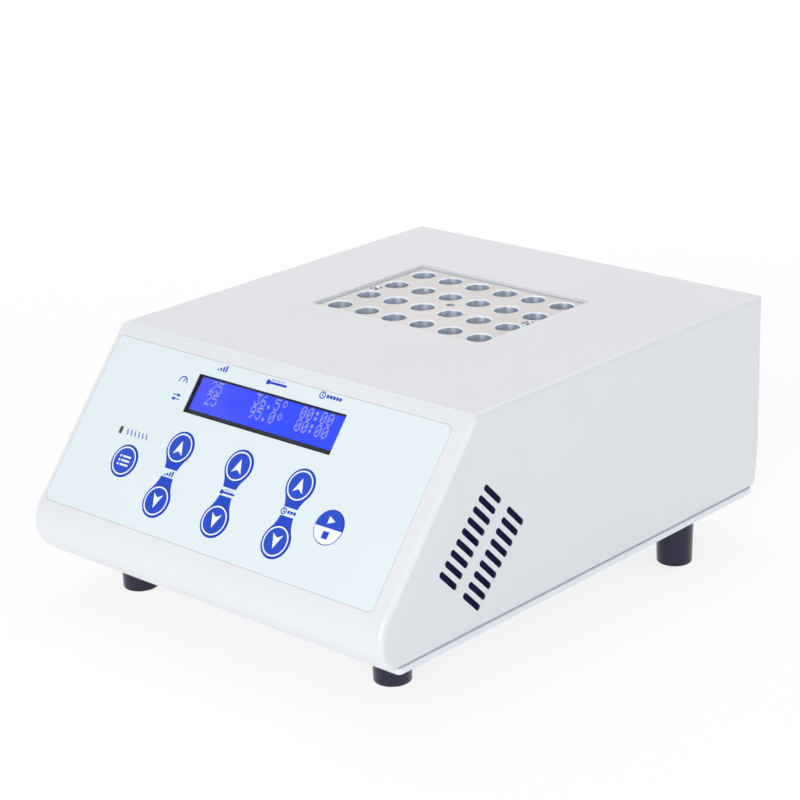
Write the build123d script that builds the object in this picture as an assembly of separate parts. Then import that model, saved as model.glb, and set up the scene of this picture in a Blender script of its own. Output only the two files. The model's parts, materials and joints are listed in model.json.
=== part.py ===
from build123d import *
import os
from math import cos, radians, sin, sqrt

# A dry bath incubator, in millimetres. Z is up, the slanted control panel looks
# towards -Y, and the origin lies on the table under the middle of the machine.

# Cover and base plate
side_bay = 45.8
front_bay = 63.7
rear_bay = 44.0
wall = 3.0
panel_slope = 51.0
nose_radius = 16.0
nose_rise = 15.5
fold_radius = 2.5
rear_top_radius = 3.0
side_edge_radius = 2.4
rear_tuck = 2.7
rear_tuck_height = 28.0
shadow_gap = 0.4
base_thickness = 2.5
base_front_inset = 3.5
base_rear_inset = 2.5
base_corner_radius = 2.0
floor_slot_count = 8
floor_slot_length = 24.0
floor_slot_width = 3.0
floor_slot_pitch = 8.0

# Feet, each held by one screw and a nut on the base plate
foot_height = 20.0
foot_bottom_radius = 8.1
foot_top_radius = 8.6
foot_edge_radius = 0.8
front_foot_side_inset = 28.0
rear_foot_side_inset = 9.0
front_foot_inset = 26.0
rear_foot_inset = 49.5
foot_screw_recess = 11.0

# Screws
small_screw_radius = 1.05
small_head_radius = 2.3
small_head_height = 1.6
cover_screw_radius = 1.45
cover_head_radius = 2.9
cover_head_height = 2.0
machine_screw_radius = 1.95
machine_head_radius = 3.5
machine_head_height = 2.6
nut_height = 3.2
nut_radius = 4.0
thread_clearance = 0.05
hole_clearance = 0.25
screw_end_gap = 2.0
overcut = 1.0

# Cover bosses, which take screws from below
boss_radius = 4.5
boss_side_inset = 7.0
boss_height = 30.0
boss_pilot_depth = 14.0
boss_ahead_of_fold = 36.0
boss_behind_fold = 62.0
boss_rear_inset = 14.0

# Side vents, two columns of slots at 45 degrees on both sides
vent_rows = 9
vent_columns = 2
vent_slope = 45.0
slot_length = 14.0
slot_width = 2.8
slot_row_pitch = 5.02
slot_column_pitch = 19.8
vent_behind_fold = 2.3
vent_rise = 37.3

# Panel film and display window, measured across and down the slanted panel
film_thickness = 0.5
film_left_inset = 3.5
film_right_inset = 8.5
film_top = 6.0
film_end_margin = 1.2
film_corner_radius = 3.0
window_width = 88.0
window_height = 18.4
window_x = -1.4
window_below_film_top = 16.7
window_lap = 2.0
window_pane_thickness = 1.0
pane_clearance = 0.2
part_clearance = 0.3

# Keys, round caps over snap switches
key_radius = 6.9
start_key_radius = 7.3
key_clearance = 0.15
key_stand = 0.35
key_cap_thickness = 1.6
key_edge_radius = 0.25
key_stem_radius = 2.4
key_tip_radius = 1.4
key_tip_length = 1.5
key_gap = 0.45
arrow_column_x = -37.0
arrow_column_pitch = 36.1
arrows_below_window = 24.9
arrow_key_drop = 25.1
round_key_drop = 12.8
keys_above_film_bottom = 14.8
program_key_x = -65.1
start_key_x = 58.4
lamp_x = -75.3
lamp_width = 2.0
lamp_height = 3.4

# Control board behind the panel, on four pillars of the cover
control_board_depth = 14.0
board_thickness = 1.6
control_board_side_margin = 16.0
control_board_end_margin = 3.25
pillar_radius = 3.0
pillar_inset = 4.0
pilot_depth = 8.0
snap_switch_size = 6.0
snap_switch_height = 3.5
chip_width = 14.0
chip_height = 2.2
chip_left_x = -30.0
chip_right_x = 25.0

# Display module
bezel_depth = 1.7
bezel_wall = 0.6
bezel_face = 0.8
bezel_top_border = 0.6
bezel_bottom_border = 2.2
display_board_depth = 8.5
display_board_width = 100.0
display_board_height = 29.0
glass_thickness = 2.0
spacer_radius = 2.4
spacer_hole_radius = 1.1
spacer_inset_x = 4.0
spacer_inset_down = 3.4

# Sample block with its wells
block_x = -4.4
block_height = 42.0
block_sink = 1.5
block_corner_radius = 1.5
block_edge_chamfer = 0.4
opening_gap = 0.6
opening_lip = 2.0
opening_lip_height = 6.0
well_columns = 6
well_rows = 4
well_pitch_x = 16.75
well_pitch_y = 19.5
well_margin_x = 8.125
well_margin_y = 9.25
well_radius = 5.65
well_rim_chamfer = 0.5
well_straight_depth = 24.0
well_depth = 36.0
well_tip_radius = 2.6
lift_hole_radius = 2.1
lift_hole_depth = 15.0
block_screw_inset = 4.0
block_screw_radius = 1.5
block_head_radius = 2.75
block_head_height = 3.0
block_screw_recess = 3.6
block_screw_grip = 5.0
socket_radius = 1.45
socket_depth = 1.6

# Heater stack under the block
heater_plate_thickness = 6.0
heater_mat_thickness = 1.5
clamp_thickness = 2.0
tray_floor = 12.0
tray_wall = 8.0
tray_gap = 1.2
carrier_thickness = 1.5
carrier_side_reach = 10.8
carrier_end_inset = 0.2
heater_screw_inset_x = 12.3
heater_screw_inset_y = 9.25
post_inset_x = 5.3
post_inset_y = 11.5
post_radius = 4.0
cutoff_radius = 8.0
cutoff_height = 8.0
cutoff_pocket_gap = 1.0
sensor_radius = 1.5
sensor_length = 34.0
sensor_depth = 20.0

# Power inlet with a fuse drawer
inlet_side_inset = 43.0
inlet_rise = 38.0
inlet_flange_width = 50.0
inlet_flange_height = 36.0
inlet_flange_thickness = 2.5
inlet_flange_radius = 4.0
inlet_body_width = 27.6
inlet_body_height = 32.0
inlet_body_depth = 26.0
inlet_screw_spacing = 40.0
socket_width = 24.6
socket_height = 16.6
socket_hollow_depth = 18.0
socket_drop = 6.4
socket_corner = 4.0
pin_width = 2.0
pin_height = 4.0
pin_spread = 7.0
pin_reach = 15.0
pin_tail = 7.0
earth_pin_rise = 2.0
earth_pin_extra = 1.0
drawer_width = 22.4
drawer_height = 8.0
drawer_depth = 20.0
drawer_rise = 9.2
drawer_clearance = 0.3
drawer_lip = 1.0
drawer_lip_thickness = 2.0
drawer_notch_width = 7.5
fuse_radius = 2.6
fuse_glass_radius = 2.4
fuse_length = 20.0
fuse_cap_length = 5.0
fuse_depth = 12.0

# Power switch with a tilting rocker
switch_beside_inlet = 44.0
switch_flange_width = 17.4
switch_flange_height = 26.0
switch_flange_thickness = 2.0
switch_body_depth = 16.0
switch_wall = 1.4
rocker_width = 10.4
rocker_half_length = 8.6
rocker_valley = 2.2
rocker_rise = 4.03
rocker_skirt = 2.0
rocker_tilt = 12.0
rocker_pin_radius = 1.2
rocker_pin_reach = 1.0
rocker_clearance = 0.3
rocker_floor_gap = 1.0
terminal_width = 4.8
terminal_thickness = 0.8
terminal_length = 7.0

# Power board in the front of the case
power_board_width = 120.0
power_board_x = -10.0
power_board_end_behind_fold = 54.5
standoff_height = 8.0
standoff_radius = 3.0
standoff_inset = 4.5
transformer_width = 44.0
transformer_depth = 20.0
transformer_height = 38.0
transformer_coil_depth = 36.0
transformer_coil_width = 26.0
transformer_coil_height = 25.0
transformer_coil_corner = 3.0
transformer_side_inset = 24.0
transformer_end_inset = 25.0
heatsink_width = 36.0
heatsink_depth = 18.0
heatsink_height = 28.0
heatsink_base = 3.0
heatsink_fins = 7
heatsink_fin_thickness = 1.4
heatsink_side_inset = 29.0
heatsink_end_inset = 29.5
capacitor_radius = 8.0
capacitor_height = 22.0
capacitor_edge_radius = 0.8
capacitor_side_inset = 12.0
capacitor_front_inset = 16.0
capacitor_pitch = 19.0
terminal_block_side_gap = 8.5
terminal_block_header_gap = 3.0
terminal_block_depth = 12.0
terminal_block_height = 11.0
ribbon_width = 26.0
ribbon_thickness = 1.0
ribbon_bend = 3.0
ribbon_lead = 10.0
ribbon_drop = 6.0
header_height = 9.0
header_depth = 6.0
header_width = 30.0

# Block and tray, which follow from the grid of wells
block_width = (well_columns - 1) * well_pitch_x + 2 * well_margin_x
block_depth = (well_rows - 1) * well_pitch_y + 2 * well_margin_y
tray_inner_width = block_width + 2 * tray_gap
tray_inner_depth = block_depth + 2 * tray_gap
tray_width = tray_inner_width + 2 * tray_wall
tray_depth = tray_inner_depth + 2 * tray_wall

# Places down the panel, whose length sets the height of the cover
slope = radians(panel_slope)
window_down = film_top + window_below_film_top
arrow_up_down = window_down + arrows_below_window
arrow_down_down = arrow_up_down + arrow_key_drop
round_key_down = arrow_up_down + round_key_drop
lamp_down = arrow_up_down
film_bottom = arrow_down_down + keys_above_film_bottom
panel_length = film_bottom + film_end_margin
nose_to_top = nose_radius * cos(slope) + panel_length * sin(slope)
nose_to_fold = panel_length * cos(slope) - nose_radius * sin(slope)

# Cover, worked out around the tray and the panel
cover_width = tray_width + 2 * side_bay
cover_depth = nose_radius + nose_to_fold + front_bay + tray_depth + rear_bay
rocker_swing = sqrt(rocker_half_length**2 + rocker_rise**2)
tilt = radians(rocker_tilt)
rear_reach = rocker_rise * cos(tilt) + rocker_half_length * sin(tilt)
front_y = -(cover_depth + rear_reach) / 2
rear_y = front_y + cover_depth
base_under_z = foot_height
base_top_z = foot_height + base_thickness
nose_y = front_y + nose_radius
nose_z = base_under_z + nose_rise
top_z = nose_z + nose_to_top
inner_top_z = top_z - wall
fold_y = nose_y + nose_to_fold
lip_y = nose_y - sqrt(nose_radius**2 - (nose_z - base_top_z) ** 2)
tuck_y = rear_y - rear_tuck
base_front_y = lip_y + base_front_inset
base_rear_y = tuck_y - base_rear_inset
panel = Plane(origin=(0, fold_y, top_z), x_dir=(1, 0, 0), z_dir=(0, -sin(slope), cos(slope)))
rear = Plane(origin=(0, rear_y, base_under_z), x_dir=(-1, 0, 0), z_dir=(0, 1, 0))

# Block, heater stack and tray, from the top down
block_y = fold_y + front_bay + tray_depth / 2
block_top_z = top_z - block_sink
block_bottom_z = block_top_z - block_height
heater_plate_z = block_bottom_z - heater_plate_thickness
heater_mat_z = heater_plate_z - heater_mat_thickness
clamp_z = heater_mat_z - clamp_thickness
tray_z = clamp_z - tray_floor
carrier_z = tray_z - carrier_thickness
opening_width = block_width + 2 * opening_gap
opening_depth = block_depth + 2 * opening_gap
tray_top_z = inner_top_z - opening_lip_height - part_clearance
carrier_width = tray_width + 2 * carrier_side_reach
carrier_depth = tray_depth - 2 * carrier_end_inset

# Feet, film, boards and rear fittings
front_foot_x = cover_width / 2 - front_foot_side_inset
rear_foot_x = cover_width / 2 - rear_foot_side_inset
front_foot_y = base_front_y + front_foot_inset
rear_foot_y = base_rear_y - rear_foot_inset
film_left = film_left_inset - cover_width / 2
film_right = cover_width / 2 - film_right_inset
film_x = (film_left + film_right) / 2
film_down = (film_top + film_bottom) / 2
control_board_width = film_right - film_left - 2 * control_board_side_margin
control_board_height = film_bottom - film_top - 2 * control_board_end_margin
control_board_back = control_board_depth + board_thickness
standoff_y = front_foot_y + foot_top_radius + cover_head_radius + part_clearance
power_board_front_y = standoff_y - standoff_inset
power_board_rear_y = fold_y + power_board_end_behind_fold
power_board_y = (power_board_front_y + power_board_rear_y) / 2
power_board_depth = power_board_rear_y - power_board_front_y
power_board_left_x = power_board_x - power_board_width / 2
power_board_right_x = power_board_x + power_board_width / 2
power_board_z = base_top_z + standoff_height
power_board_top_z = power_board_z + board_thickness
inlet_x = inlet_side_inset - cover_width / 2
switch_x = inlet_x + switch_beside_inlet

foot_places = {
    "front_left": (-front_foot_x, front_foot_y),
    "front_right": (front_foot_x, front_foot_y),
    "rear_left": (-rear_foot_x, rear_foot_y),
    "rear_right": (rear_foot_x, rear_foot_y),
}
boss_places = [
    (side * (cover_width / 2 - boss_side_inset), y)
    for side in (-1, 1)
    for y in (fold_y - boss_ahead_of_fold, fold_y + boss_behind_fold, rear_y - boss_rear_inset)
]
key_places = {
    "key_program": (program_key_x, round_key_down, key_radius),
    "key_start_stop": (start_key_x, round_key_down, start_key_radius),
}
for index, word in enumerate(("segment", "temperature", "time")):
    column_x = arrow_column_x + index * arrow_column_pitch
    key_places[f"key_{word}_up"] = (column_x, arrow_up_down, key_radius)
    key_places[f"key_{word}_down"] = (column_x, arrow_down_down, key_radius)


def on_panel(x, down, depth):
    """Place on the slanted panel: across, down the slope and in behind its face."""
    return panel * Pos(x, -down, -depth)


def corner_places(width, height, inset_x, inset_y):
    """Four places near the corners of a rectangle centred on the origin."""
    half_x = width / 2 - inset_x
    half_y = height / 2 - inset_y
    return [(i * half_x, j * half_y) for i in (-1, 1) for j in (-1, 1)]


def slab(width, depth, height, corner=0.0):
    """Plate or bar standing on its local XY plane, with rounded upright edges."""
    outline = RectangleRounded(width, depth, corner) if corner else Rectangle(width, depth)
    return extrude(outline, height)


def rod(radius, length):
    """Round bar standing on its local XY plane."""
    return Cylinder(radius, length, align=(Align.CENTER, Align.CENTER, Align.MIN))


def screw(radius, length, head_radius, head_height):
    """Screw along Z with a hexagon socket, the underside of its head at Z = 0."""
    shank = Pos(0, 0, -length) * rod(radius, length)
    head = rod(head_radius, head_height)
    drive_radius = head_radius * socket_radius / block_head_radius
    drive_depth = head_height * socket_depth / block_head_height
    drive = extrude(RegularPolygon(drive_radius, 6), drive_depth)
    return shank + head - Pos(0, 0, head_height - drive_depth) * drive


def group(solids):
    """Several like solids kept as one node."""
    return Compound([solid for piece in solids for solid in piece.solids()])


def cover_outline(inset, bottom_z):
    """Side view of the cover in the YZ plane, drawn inset inside its outer face."""
    radius = nose_radius - inset
    start_y = lip_y + inset
    start_z = nose_z - sqrt(radius**2 - (start_y - nose_y) ** 2)
    touch = (nose_y - radius * sin(slope), nose_z + radius * cos(slope))
    fold = (fold_y + inset * (1 - cos(slope)) / sin(slope), top_z - inset)
    back_y = rear_y - inset
    low_back_y = tuck_y - inset
    tuck_top_z = base_top_z + rear_tuck_height
    nose_front = (nose_y - radius, nose_z)
    with BuildSketch(Plane.YZ) as outline:
        with BuildLine():
            if inset:
                Line((start_y, bottom_z), (start_y, start_z))
            ThreePointArc((start_y, start_z), nose_front, touch)
            Line(touch, fold)
            Line(fold, (back_y, top_z - inset))
            Line((back_y, top_z - inset), (back_y, tuck_top_z))
            tuck = TangentArc((back_y, tuck_top_z), (low_back_y, base_top_z), tangent=(0, -1))
            if inset:
                Line(tuck @ 1, (low_back_y, bottom_z))
            Line((low_back_y, bottom_z), (start_y, bottom_z))
        make_face()
        if not inset:
            corners = outline.vertices()
            fillet(corners.sort_by_distance(Vector(0, *fold))[0], fold_radius)
            fillet(outline.vertices().sort_by_distance(Vector(0, back_y, top_z))[0], rear_top_radius)
    return outline.sketch


def cover_shell():
    """Hollow cover: flat top, slanted panel, rounded nose and a tucked rear wall."""
    half = cover_width / 2
    outer = extrude(cover_outline(0.0, base_top_z), half, both=True)
    sides = outer.faces().group_by(Axis.X)
    rim = [
        edge
        for edge in sides[0].edges() + sides[-1].edges()
        if edge.center().Z > base_top_z + overcut
    ]
    outer = fillet(rim, side_edge_radius)
    seam = slab(2 * shadow_gap, 2 * cover_depth, shadow_gap)
    for side in (-1, 1):
        outer -= Pos(side * half, 0, base_top_z) * seam
    hollow = extrude(cover_outline(wall, base_under_z), half - wall, both=True)
    return outer - hollow


def vent_cutters():
    """Slots through both side walls, in columns that run down towards the nose."""
    slot = extrude(SlotOverall(slot_length, slot_width), cover_width + 2 * wall)
    grid = GridLocations(slot_column_pitch, slot_row_pitch, vent_columns, vent_rows)
    middle = Plane(
        origin=(-cover_width / 2 - wall, fold_y + vent_behind_fold, base_under_z + vent_rise),
        x_dir=(0, cos(radians(vent_slope)), -sin(radians(vent_slope))),
        z_dir=(1, 0, 0),
    )
    return [middle * place * slot for place in grid]


def panel_cutters():
    """Film recess, pane rebate, display opening, lamp hole and key holes of the panel."""
    recess = RectangleRounded(film_right - film_left, film_bottom - film_top, film_corner_radius)
    through = 3 * wall
    pane_depth = film_thickness + window_pane_thickness
    rebate_width = window_width + 2 * window_lap + 2 * pane_clearance
    rebate_height = window_height + 2 * window_lap + 2 * pane_clearance
    opening_width = bezel_width() + 2 * part_clearance
    opening_height = bezel_height() + 2 * part_clearance
    lamp_slit_width = lamp_width + 2 * pane_clearance
    lamp_slit_height = lamp_height + 2 * pane_clearance
    tools = [
        on_panel(film_x, film_down, film_thickness) * extrude(recess, wall),
        on_panel(window_x, window_down, pane_depth) * slab(rebate_width, rebate_height, wall),
        on_panel(window_x, window_down, through) * slab(opening_width, opening_height, 2 * through),
        on_panel(lamp_x, lamp_down, through) * slab(lamp_slit_width, lamp_slit_height, 2 * through),
    ]
    for x, down, radius in key_places.values():
        tools.append(on_panel(x, down, through) * rod(radius + part_clearance, 2 * through))
    return tools


def bezel_width():
    """The display bezel laps a little behind the edge of the film window."""
    return window_width + part_clearance


def bezel_height():
    """Height of the display bezel, which also laps behind the film."""
    return window_height + part_clearance


def housing_cover():
    """Moulded cover with its openings, vents, block lip, board pillars and screw bosses."""
    cover = cover_shell() - vent_cutters()
    lip_width = opening_width + 2 * opening_lip
    lip_depth = opening_depth + 2 * opening_lip
    lip_z = inner_top_z - opening_lip_height
    lip = slab(lip_width, lip_depth, opening_lip_height + wall / 2)
    opening = slab(opening_width, opening_depth, 4 * wall + opening_lip_height, block_corner_radius)
    cover += Pos(block_x, block_y, lip_z) * lip
    cover -= Pos(block_x, block_y, lip_z - wall) * opening
    cover += control_board_pillars()
    for tool in panel_cutters() + rear_cutters():
        cover -= tool
    pilot = rod(cover_screw_radius + thread_clearance, boss_pilot_depth + base_thickness)
    for x, y in boss_places:
        cover += cover_boss(x, y)
        cover -= Pos(x, y, base_under_z) * pilot
    return cover


def rear_cutters():
    """Openings of the rear wall for the mains inlet, its screws and the power switch."""
    through = 3 * wall
    inlet_width = inlet_body_width + 2 * part_clearance
    inlet_height = inlet_body_height + 2 * part_clearance
    switch_width = switch_body_width() + 2 * part_clearance
    switch_height = switch_body_height() + 2 * part_clearance
    screw_hole = rod(cover_screw_radius + thread_clearance, through)
    tools = [
        rear * Pos(-inlet_x, inlet_rise, -2 * wall) * slab(inlet_width, inlet_height, through),
        rear * Pos(-switch_x, inlet_rise, -2 * wall) * slab(switch_width, switch_height, through),
    ]
    for side in (-1, 1):
        hole_x = -inlet_x + side * inlet_screw_spacing / 2
        tools.append(rear * Pos(hole_x, inlet_rise, -2 * wall) * screw_hole)
    return tools


def cover_boss(x, y):
    """Screw boss under the cover, cut off where it would leave the outer form."""
    boss = Pos(x, y, base_top_z) * rod(boss_radius, boss_height)
    inside = extrude(cover_outline(wall / 2, base_under_z), cover_width / 2 - wall / 2, both=True)
    return boss & inside


def pillar_places():
    """Centres of the control board pillars, across and down the panel."""
    return [
        (film_x + x, film_down + down)
        for x, down in corner_places(control_board_width, control_board_height, pillar_inset, pillar_inset)
    ]


def control_board_pillars():
    """Pillars behind the panel that carry the control board."""
    pillar = rod(pillar_radius, control_board_depth - wall / 2)
    pillar -= rod(small_screw_radius + thread_clearance, pilot_depth)
    return [on_panel(x, down, control_board_depth) * pillar for x, down in pillar_places()]


def base_plate():
    """Flat floor of the case with holes for feet, cover, posts and board, and air slots."""
    depth = base_rear_y - base_front_y
    plate = Pos(0, (base_front_y + base_rear_y) / 2, base_under_z) * slab(
        cover_width, depth, base_thickness, base_corner_radius
    )
    below = base_under_z - base_thickness
    through = 3 * base_thickness
    large_hole = rod(machine_screw_radius + hole_clearance, through)
    small_hole = rod(cover_screw_radius + hole_clearance, through)
    for x, y in list(foot_places.values()) + post_places():
        plate -= Pos(x, y, below) * large_hole
    for x, y in boss_places + standoff_places():
        plate -= Pos(x, y, below) * small_hole
    slot = extrude(SlotOverall(floor_slot_length, floor_slot_width), through)
    grid = GridLocations(floor_slot_length + floor_slot_pitch, floor_slot_pitch, 2, floor_slot_count // 2)
    return plate - [Pos(power_board_x, power_board_y, below) * place * slot for place in grid]


def foot():
    """Tapered rubber foot with a screw recess in its underside."""
    with BuildSketch(Plane.XZ) as outline:
        with BuildLine():
            Polyline(
                (0, 0),
                (foot_bottom_radius, 0),
                (foot_top_radius, foot_height),
                (0, foot_height),
                close=True,
            )
        make_face()
    body = revolve(outline.sketch, Axis.Z)
    low_edge = body.edges().group_by(Axis.Z)[0]
    body = fillet(low_edge, foot_edge_radius)
    body -= rod(machine_head_radius + hole_clearance, foot_screw_recess)
    return body - rod(machine_screw_radius + hole_clearance, foot_height)


def foot_screws():
    """Screws that come up through the feet and the base plate."""
    length = foot_height - foot_screw_recess + base_thickness + nut_height
    one = Rot(180, 0, 0) * screw(machine_screw_radius, length, machine_head_radius, machine_head_height)
    return group([Pos(x, y, foot_screw_recess) * one for x, y in foot_places.values()])


def foot_nuts():
    """Hexagon nuts on top of the base plate."""
    nut = extrude(RegularPolygon(nut_radius, 6), nut_height)
    nut -= rod(machine_screw_radius + thread_clearance, nut_height)
    return group([Pos(x, y, base_top_z) * nut for x, y in foot_places.values()])


def cover_screws():
    """Pan head screws that hold the cover down to the base plate."""
    length = base_thickness + boss_pilot_depth - screw_end_gap
    one = Rot(180, 0, 0) * screw(cover_screw_radius, length, cover_head_radius, cover_head_height)
    return group([Pos(x, y, base_under_z) * one for x, y in boss_places])


def front_film():
    """Printed panel film with a display window, lamp slit and key holes."""
    width = film_right - film_left - 2 * key_clearance
    height = film_bottom - film_top - 2 * key_clearance
    outline = RectangleRounded(width, height, film_corner_radius)
    outline -= Pos(window_x - film_x, film_down - window_down) * Rectangle(window_width, window_height)
    outline -= Pos(lamp_x - film_x, film_down - lamp_down) * Rectangle(lamp_width, lamp_height)
    for x, down, radius in key_places.values():
        outline -= Pos(x - film_x, film_down - down) * Circle(radius + key_clearance)
    return on_panel(film_x, film_down, film_thickness) * extrude(outline, film_thickness)


def display_window():
    """Clear pane let into the panel behind the film."""
    depth = film_thickness + window_pane_thickness
    pane = slab(window_width + 2 * window_lap, window_height + 2 * window_lap, window_pane_thickness)
    return on_panel(window_x, window_down, depth) * pane


def display_view():
    """Width, height and centre of the opening in the display bezel."""
    width = window_width - 2 * bezel_face
    height = window_height - bezel_top_border - bezel_bottom_border
    down = window_down + (bezel_top_border - bezel_bottom_border) / 2
    return width, height, down


def display_bezel():
    """Black metal frame of the display, open at the back."""
    depth = display_board_depth - bezel_depth
    place = on_panel(window_x, window_down, display_board_depth)
    inner_width = bezel_width() - 2 * bezel_wall
    inner_height = bezel_height() - 2 * bezel_wall
    frame = slab(bezel_width(), bezel_height(), depth) - slab(inner_width, inner_height, depth - bezel_face)
    width, height, down = display_view()
    return place * frame - on_panel(window_x, down, display_board_depth) * slab(width, height, 2 * depth)


def display_glass():
    """Liquid crystal cell behind the bezel face."""
    width = bezel_width() - 2 * bezel_wall - pane_clearance
    height = bezel_height() - 2 * bezel_wall - pane_clearance
    depth = bezel_depth + bezel_face + glass_thickness
    return on_panel(window_x, window_down, depth) * slab(width, height, glass_thickness)


def display_backlight():
    """Light guide between the cell and the display board."""
    width = bezel_width() - 2 * bezel_wall - pane_clearance
    height = bezel_height() - 2 * bezel_wall - pane_clearance
    thickness = display_board_depth - bezel_depth - bezel_face - glass_thickness
    return on_panel(window_x, window_down, display_board_depth) * slab(width, height, thickness)


def display_board():
    """Circuit board of the display module."""
    board = slab(display_board_width, display_board_height, board_thickness)
    for x, y in corner_places(display_board_width, display_board_height, spacer_inset_x, spacer_inset_down):
        board -= Pos(x, y) * rod(spacer_hole_radius, board_thickness)
    return on_panel(window_x, window_down, display_board_depth + board_thickness) * board


def display_spacers():
    """Tubes between the display board and the control board."""
    length = control_board_depth - display_board_depth - board_thickness
    tube = rod(spacer_radius, length) - rod(spacer_hole_radius, length)
    middle = on_panel(window_x, window_down, control_board_depth)
    places = corner_places(display_board_width, display_board_height, spacer_inset_x, spacer_inset_down)
    return group([middle * Pos(x, y) * tube for x, y in places])


def control_board():
    """Circuit board that carries the snap switches, the lamp and the display."""
    board = on_panel(film_x, film_down, control_board_back) * slab(
        control_board_width, control_board_height, board_thickness
    )
    hole = rod(small_screw_radius + hole_clearance, board_thickness)
    for x, down in pillar_places():
        board -= on_panel(x, down, control_board_back) * hole
    return board


def control_board_screws():
    """Screws from the back of the control board into the pillars."""
    length = board_thickness + pilot_depth - screw_end_gap
    one = Rot(180, 0, 0) * screw(small_screw_radius, length, small_head_radius, small_head_height)
    return group([on_panel(x, down, control_board_back) * one for x, down in pillar_places()])


def snap_switches():
    """Snap switches on the control board, one under each key."""
    body = slab(snap_switch_size, snap_switch_size, snap_switch_height)
    well = Pos(0, 0, snap_switch_height - key_tip_length - key_gap) * rod(
        key_tip_radius + part_clearance, snap_switch_height
    )
    one = body - well
    return group([on_panel(x, down, control_board_depth) * one for x, down, _ in key_places.values()])


def control_chips():
    """Controller and driver chips on the back of the control board."""
    chip = slab(chip_width, chip_width, chip_height)
    depth = control_board_back + chip_height
    return group([on_panel(x, film_down, depth) * chip for x in (chip_left_x, chip_right_x)])


def heating_lamp():
    """Small rectangular lamp that shows through the slit in the film."""
    lens_depth = control_board_depth / 2
    lens_width = lamp_width - pane_clearance
    lens_height = lamp_height - pane_clearance
    lens = slab(lens_width, lens_height, lens_depth - key_clearance)
    body = rod(lamp_width, control_board_depth - lens_depth)
    lamp = on_panel(lamp_x, lamp_down, lens_depth) * lens
    return lamp + on_panel(lamp_x, lamp_down, control_board_depth) * body


def key(x, down, radius):
    """Key cap with a stem whose tip reaches into its snap switch."""
    cap = rod(radius, key_cap_thickness)
    cap = fillet(cap.edges().group_by(Axis.Z)[-1], key_edge_radius)
    cap_back = key_cap_thickness - key_stand
    stem_end = control_board_depth - snap_switch_height - key_gap
    stem = Pos(0, 0, cap_back - stem_end) * rod(key_stem_radius, stem_end - cap_back)
    tip = Pos(0, 0, cap_back - stem_end - key_tip_length) * rod(key_tip_radius, key_tip_length)
    return on_panel(x, down, cap_back) * (cap + stem + tip)


def well_cutter():
    """Round well with a bevelled rim, a straight wall and a tapered end."""
    rim_radius = well_radius + well_rim_chamfer
    with BuildSketch(Plane.XZ) as outline:
        with BuildLine():
            Polyline(
                (0, overcut),
                (rim_radius, overcut),
                (rim_radius, 0),
                (well_radius, -well_rim_chamfer),
                (well_radius, -well_straight_depth),
                (well_tip_radius, -well_depth),
                (0, -well_depth),
                close=True,
            )
        make_face()
    return revolve(outline.sketch, Axis.Z)


def block_screw_places():
    """The two screws that hold the block, left and right of its wells."""
    offset = block_width / 2 - block_screw_inset
    return [(block_x - offset, block_y), (block_x + offset, block_y)]


def sample_block():
    """Aluminium block with its grid of wells, two screw holes and a lifting hole."""
    block = slab(block_width, block_depth, block_height, block_corner_radius)
    block = chamfer(block.edges().group_by(Axis.Z)[-1], block_edge_chamfer)
    well = well_cutter()
    grid = GridLocations(well_pitch_x, well_pitch_y, well_columns, well_rows)
    block -= [Pos(0, 0, block_height) * place * well for place in grid]
    block -= Pos(0, 0, block_height - lift_hole_depth) * rod(lift_hole_radius, lift_hole_depth)
    block = Pos(block_x, block_y, block_bottom_z) * block
    hole = rod(block_screw_radius + hole_clearance, block_height)
    recess = Pos(0, 0, block_height - block_screw_recess) * rod(
        block_head_radius + part_clearance, block_screw_recess
    )
    for x, y in block_screw_places():
        block -= Pos(x, y, block_bottom_z) * (hole + recess)
    return block


def block_screws():
    """Socket screws that go through the block into the heater plate."""
    length = block_height - block_screw_recess + block_screw_grip
    one = screw(block_screw_radius, length, block_head_radius, block_head_height)
    return group([Pos(x, y, block_top_z - block_screw_recess) * one for x, y in block_screw_places()])


def heater_screw_places():
    """Four screws that clamp the heater stack from below."""
    return [
        (block_x + x, block_y + y)
        for x, y in corner_places(block_width, block_depth, heater_screw_inset_x, heater_screw_inset_y)
    ]


def drilled_plate(width, depth, z, thickness, screw_radius):
    """Plate centred under the block, drilled for the clamping screws."""
    plate = Pos(block_x, block_y, z) * slab(width, depth, thickness)
    for x, y in heater_screw_places():
        plate -= Pos(x, y, z - thickness) * rod(screw_radius, 3 * thickness)
    return plate


def heater_plate():
    """Aluminium plate that the block sits on, tapped for block and clamp screws."""
    plate = Pos(block_x, block_y, heater_plate_z) * slab(block_width, block_depth, heater_plate_thickness)
    clamp_hole = rod(machine_screw_radius + thread_clearance, heater_plate_thickness - screw_end_gap / 2)
    block_hole = rod(block_screw_radius + thread_clearance, heater_plate_thickness)
    for x, y in heater_screw_places():
        plate -= Pos(x, y, heater_plate_z) * clamp_hole
    for x, y in block_screw_places():
        plate -= Pos(x, y, heater_plate_z) * block_hole
    sensor_z = heater_plate_z + heater_plate_thickness / 2
    hole_y = block_y + block_depth / 2 - sensor_depth
    hole = Rot(-90, 0, 0) * rod(sensor_radius + thread_clearance, sensor_depth)
    return plate - Pos(block_x, hole_y, sensor_z) * hole


def stack_layer(z, thickness):
    """Plate of the heater stack with clear holes for the clamping screws."""
    return drilled_plate(block_width, block_depth, z, thickness, machine_screw_radius + hole_clearance)


def heater_screws():
    """Long screws from below the carrier into the heater plate."""
    length = heater_plate_z - carrier_z + heater_plate_thickness - screw_end_gap
    one = Rot(180, 0, 0) * screw(machine_screw_radius, length, machine_head_radius, machine_head_height)
    return group([Pos(x, y, carrier_z) * one for x, y in heater_screw_places()])


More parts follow.
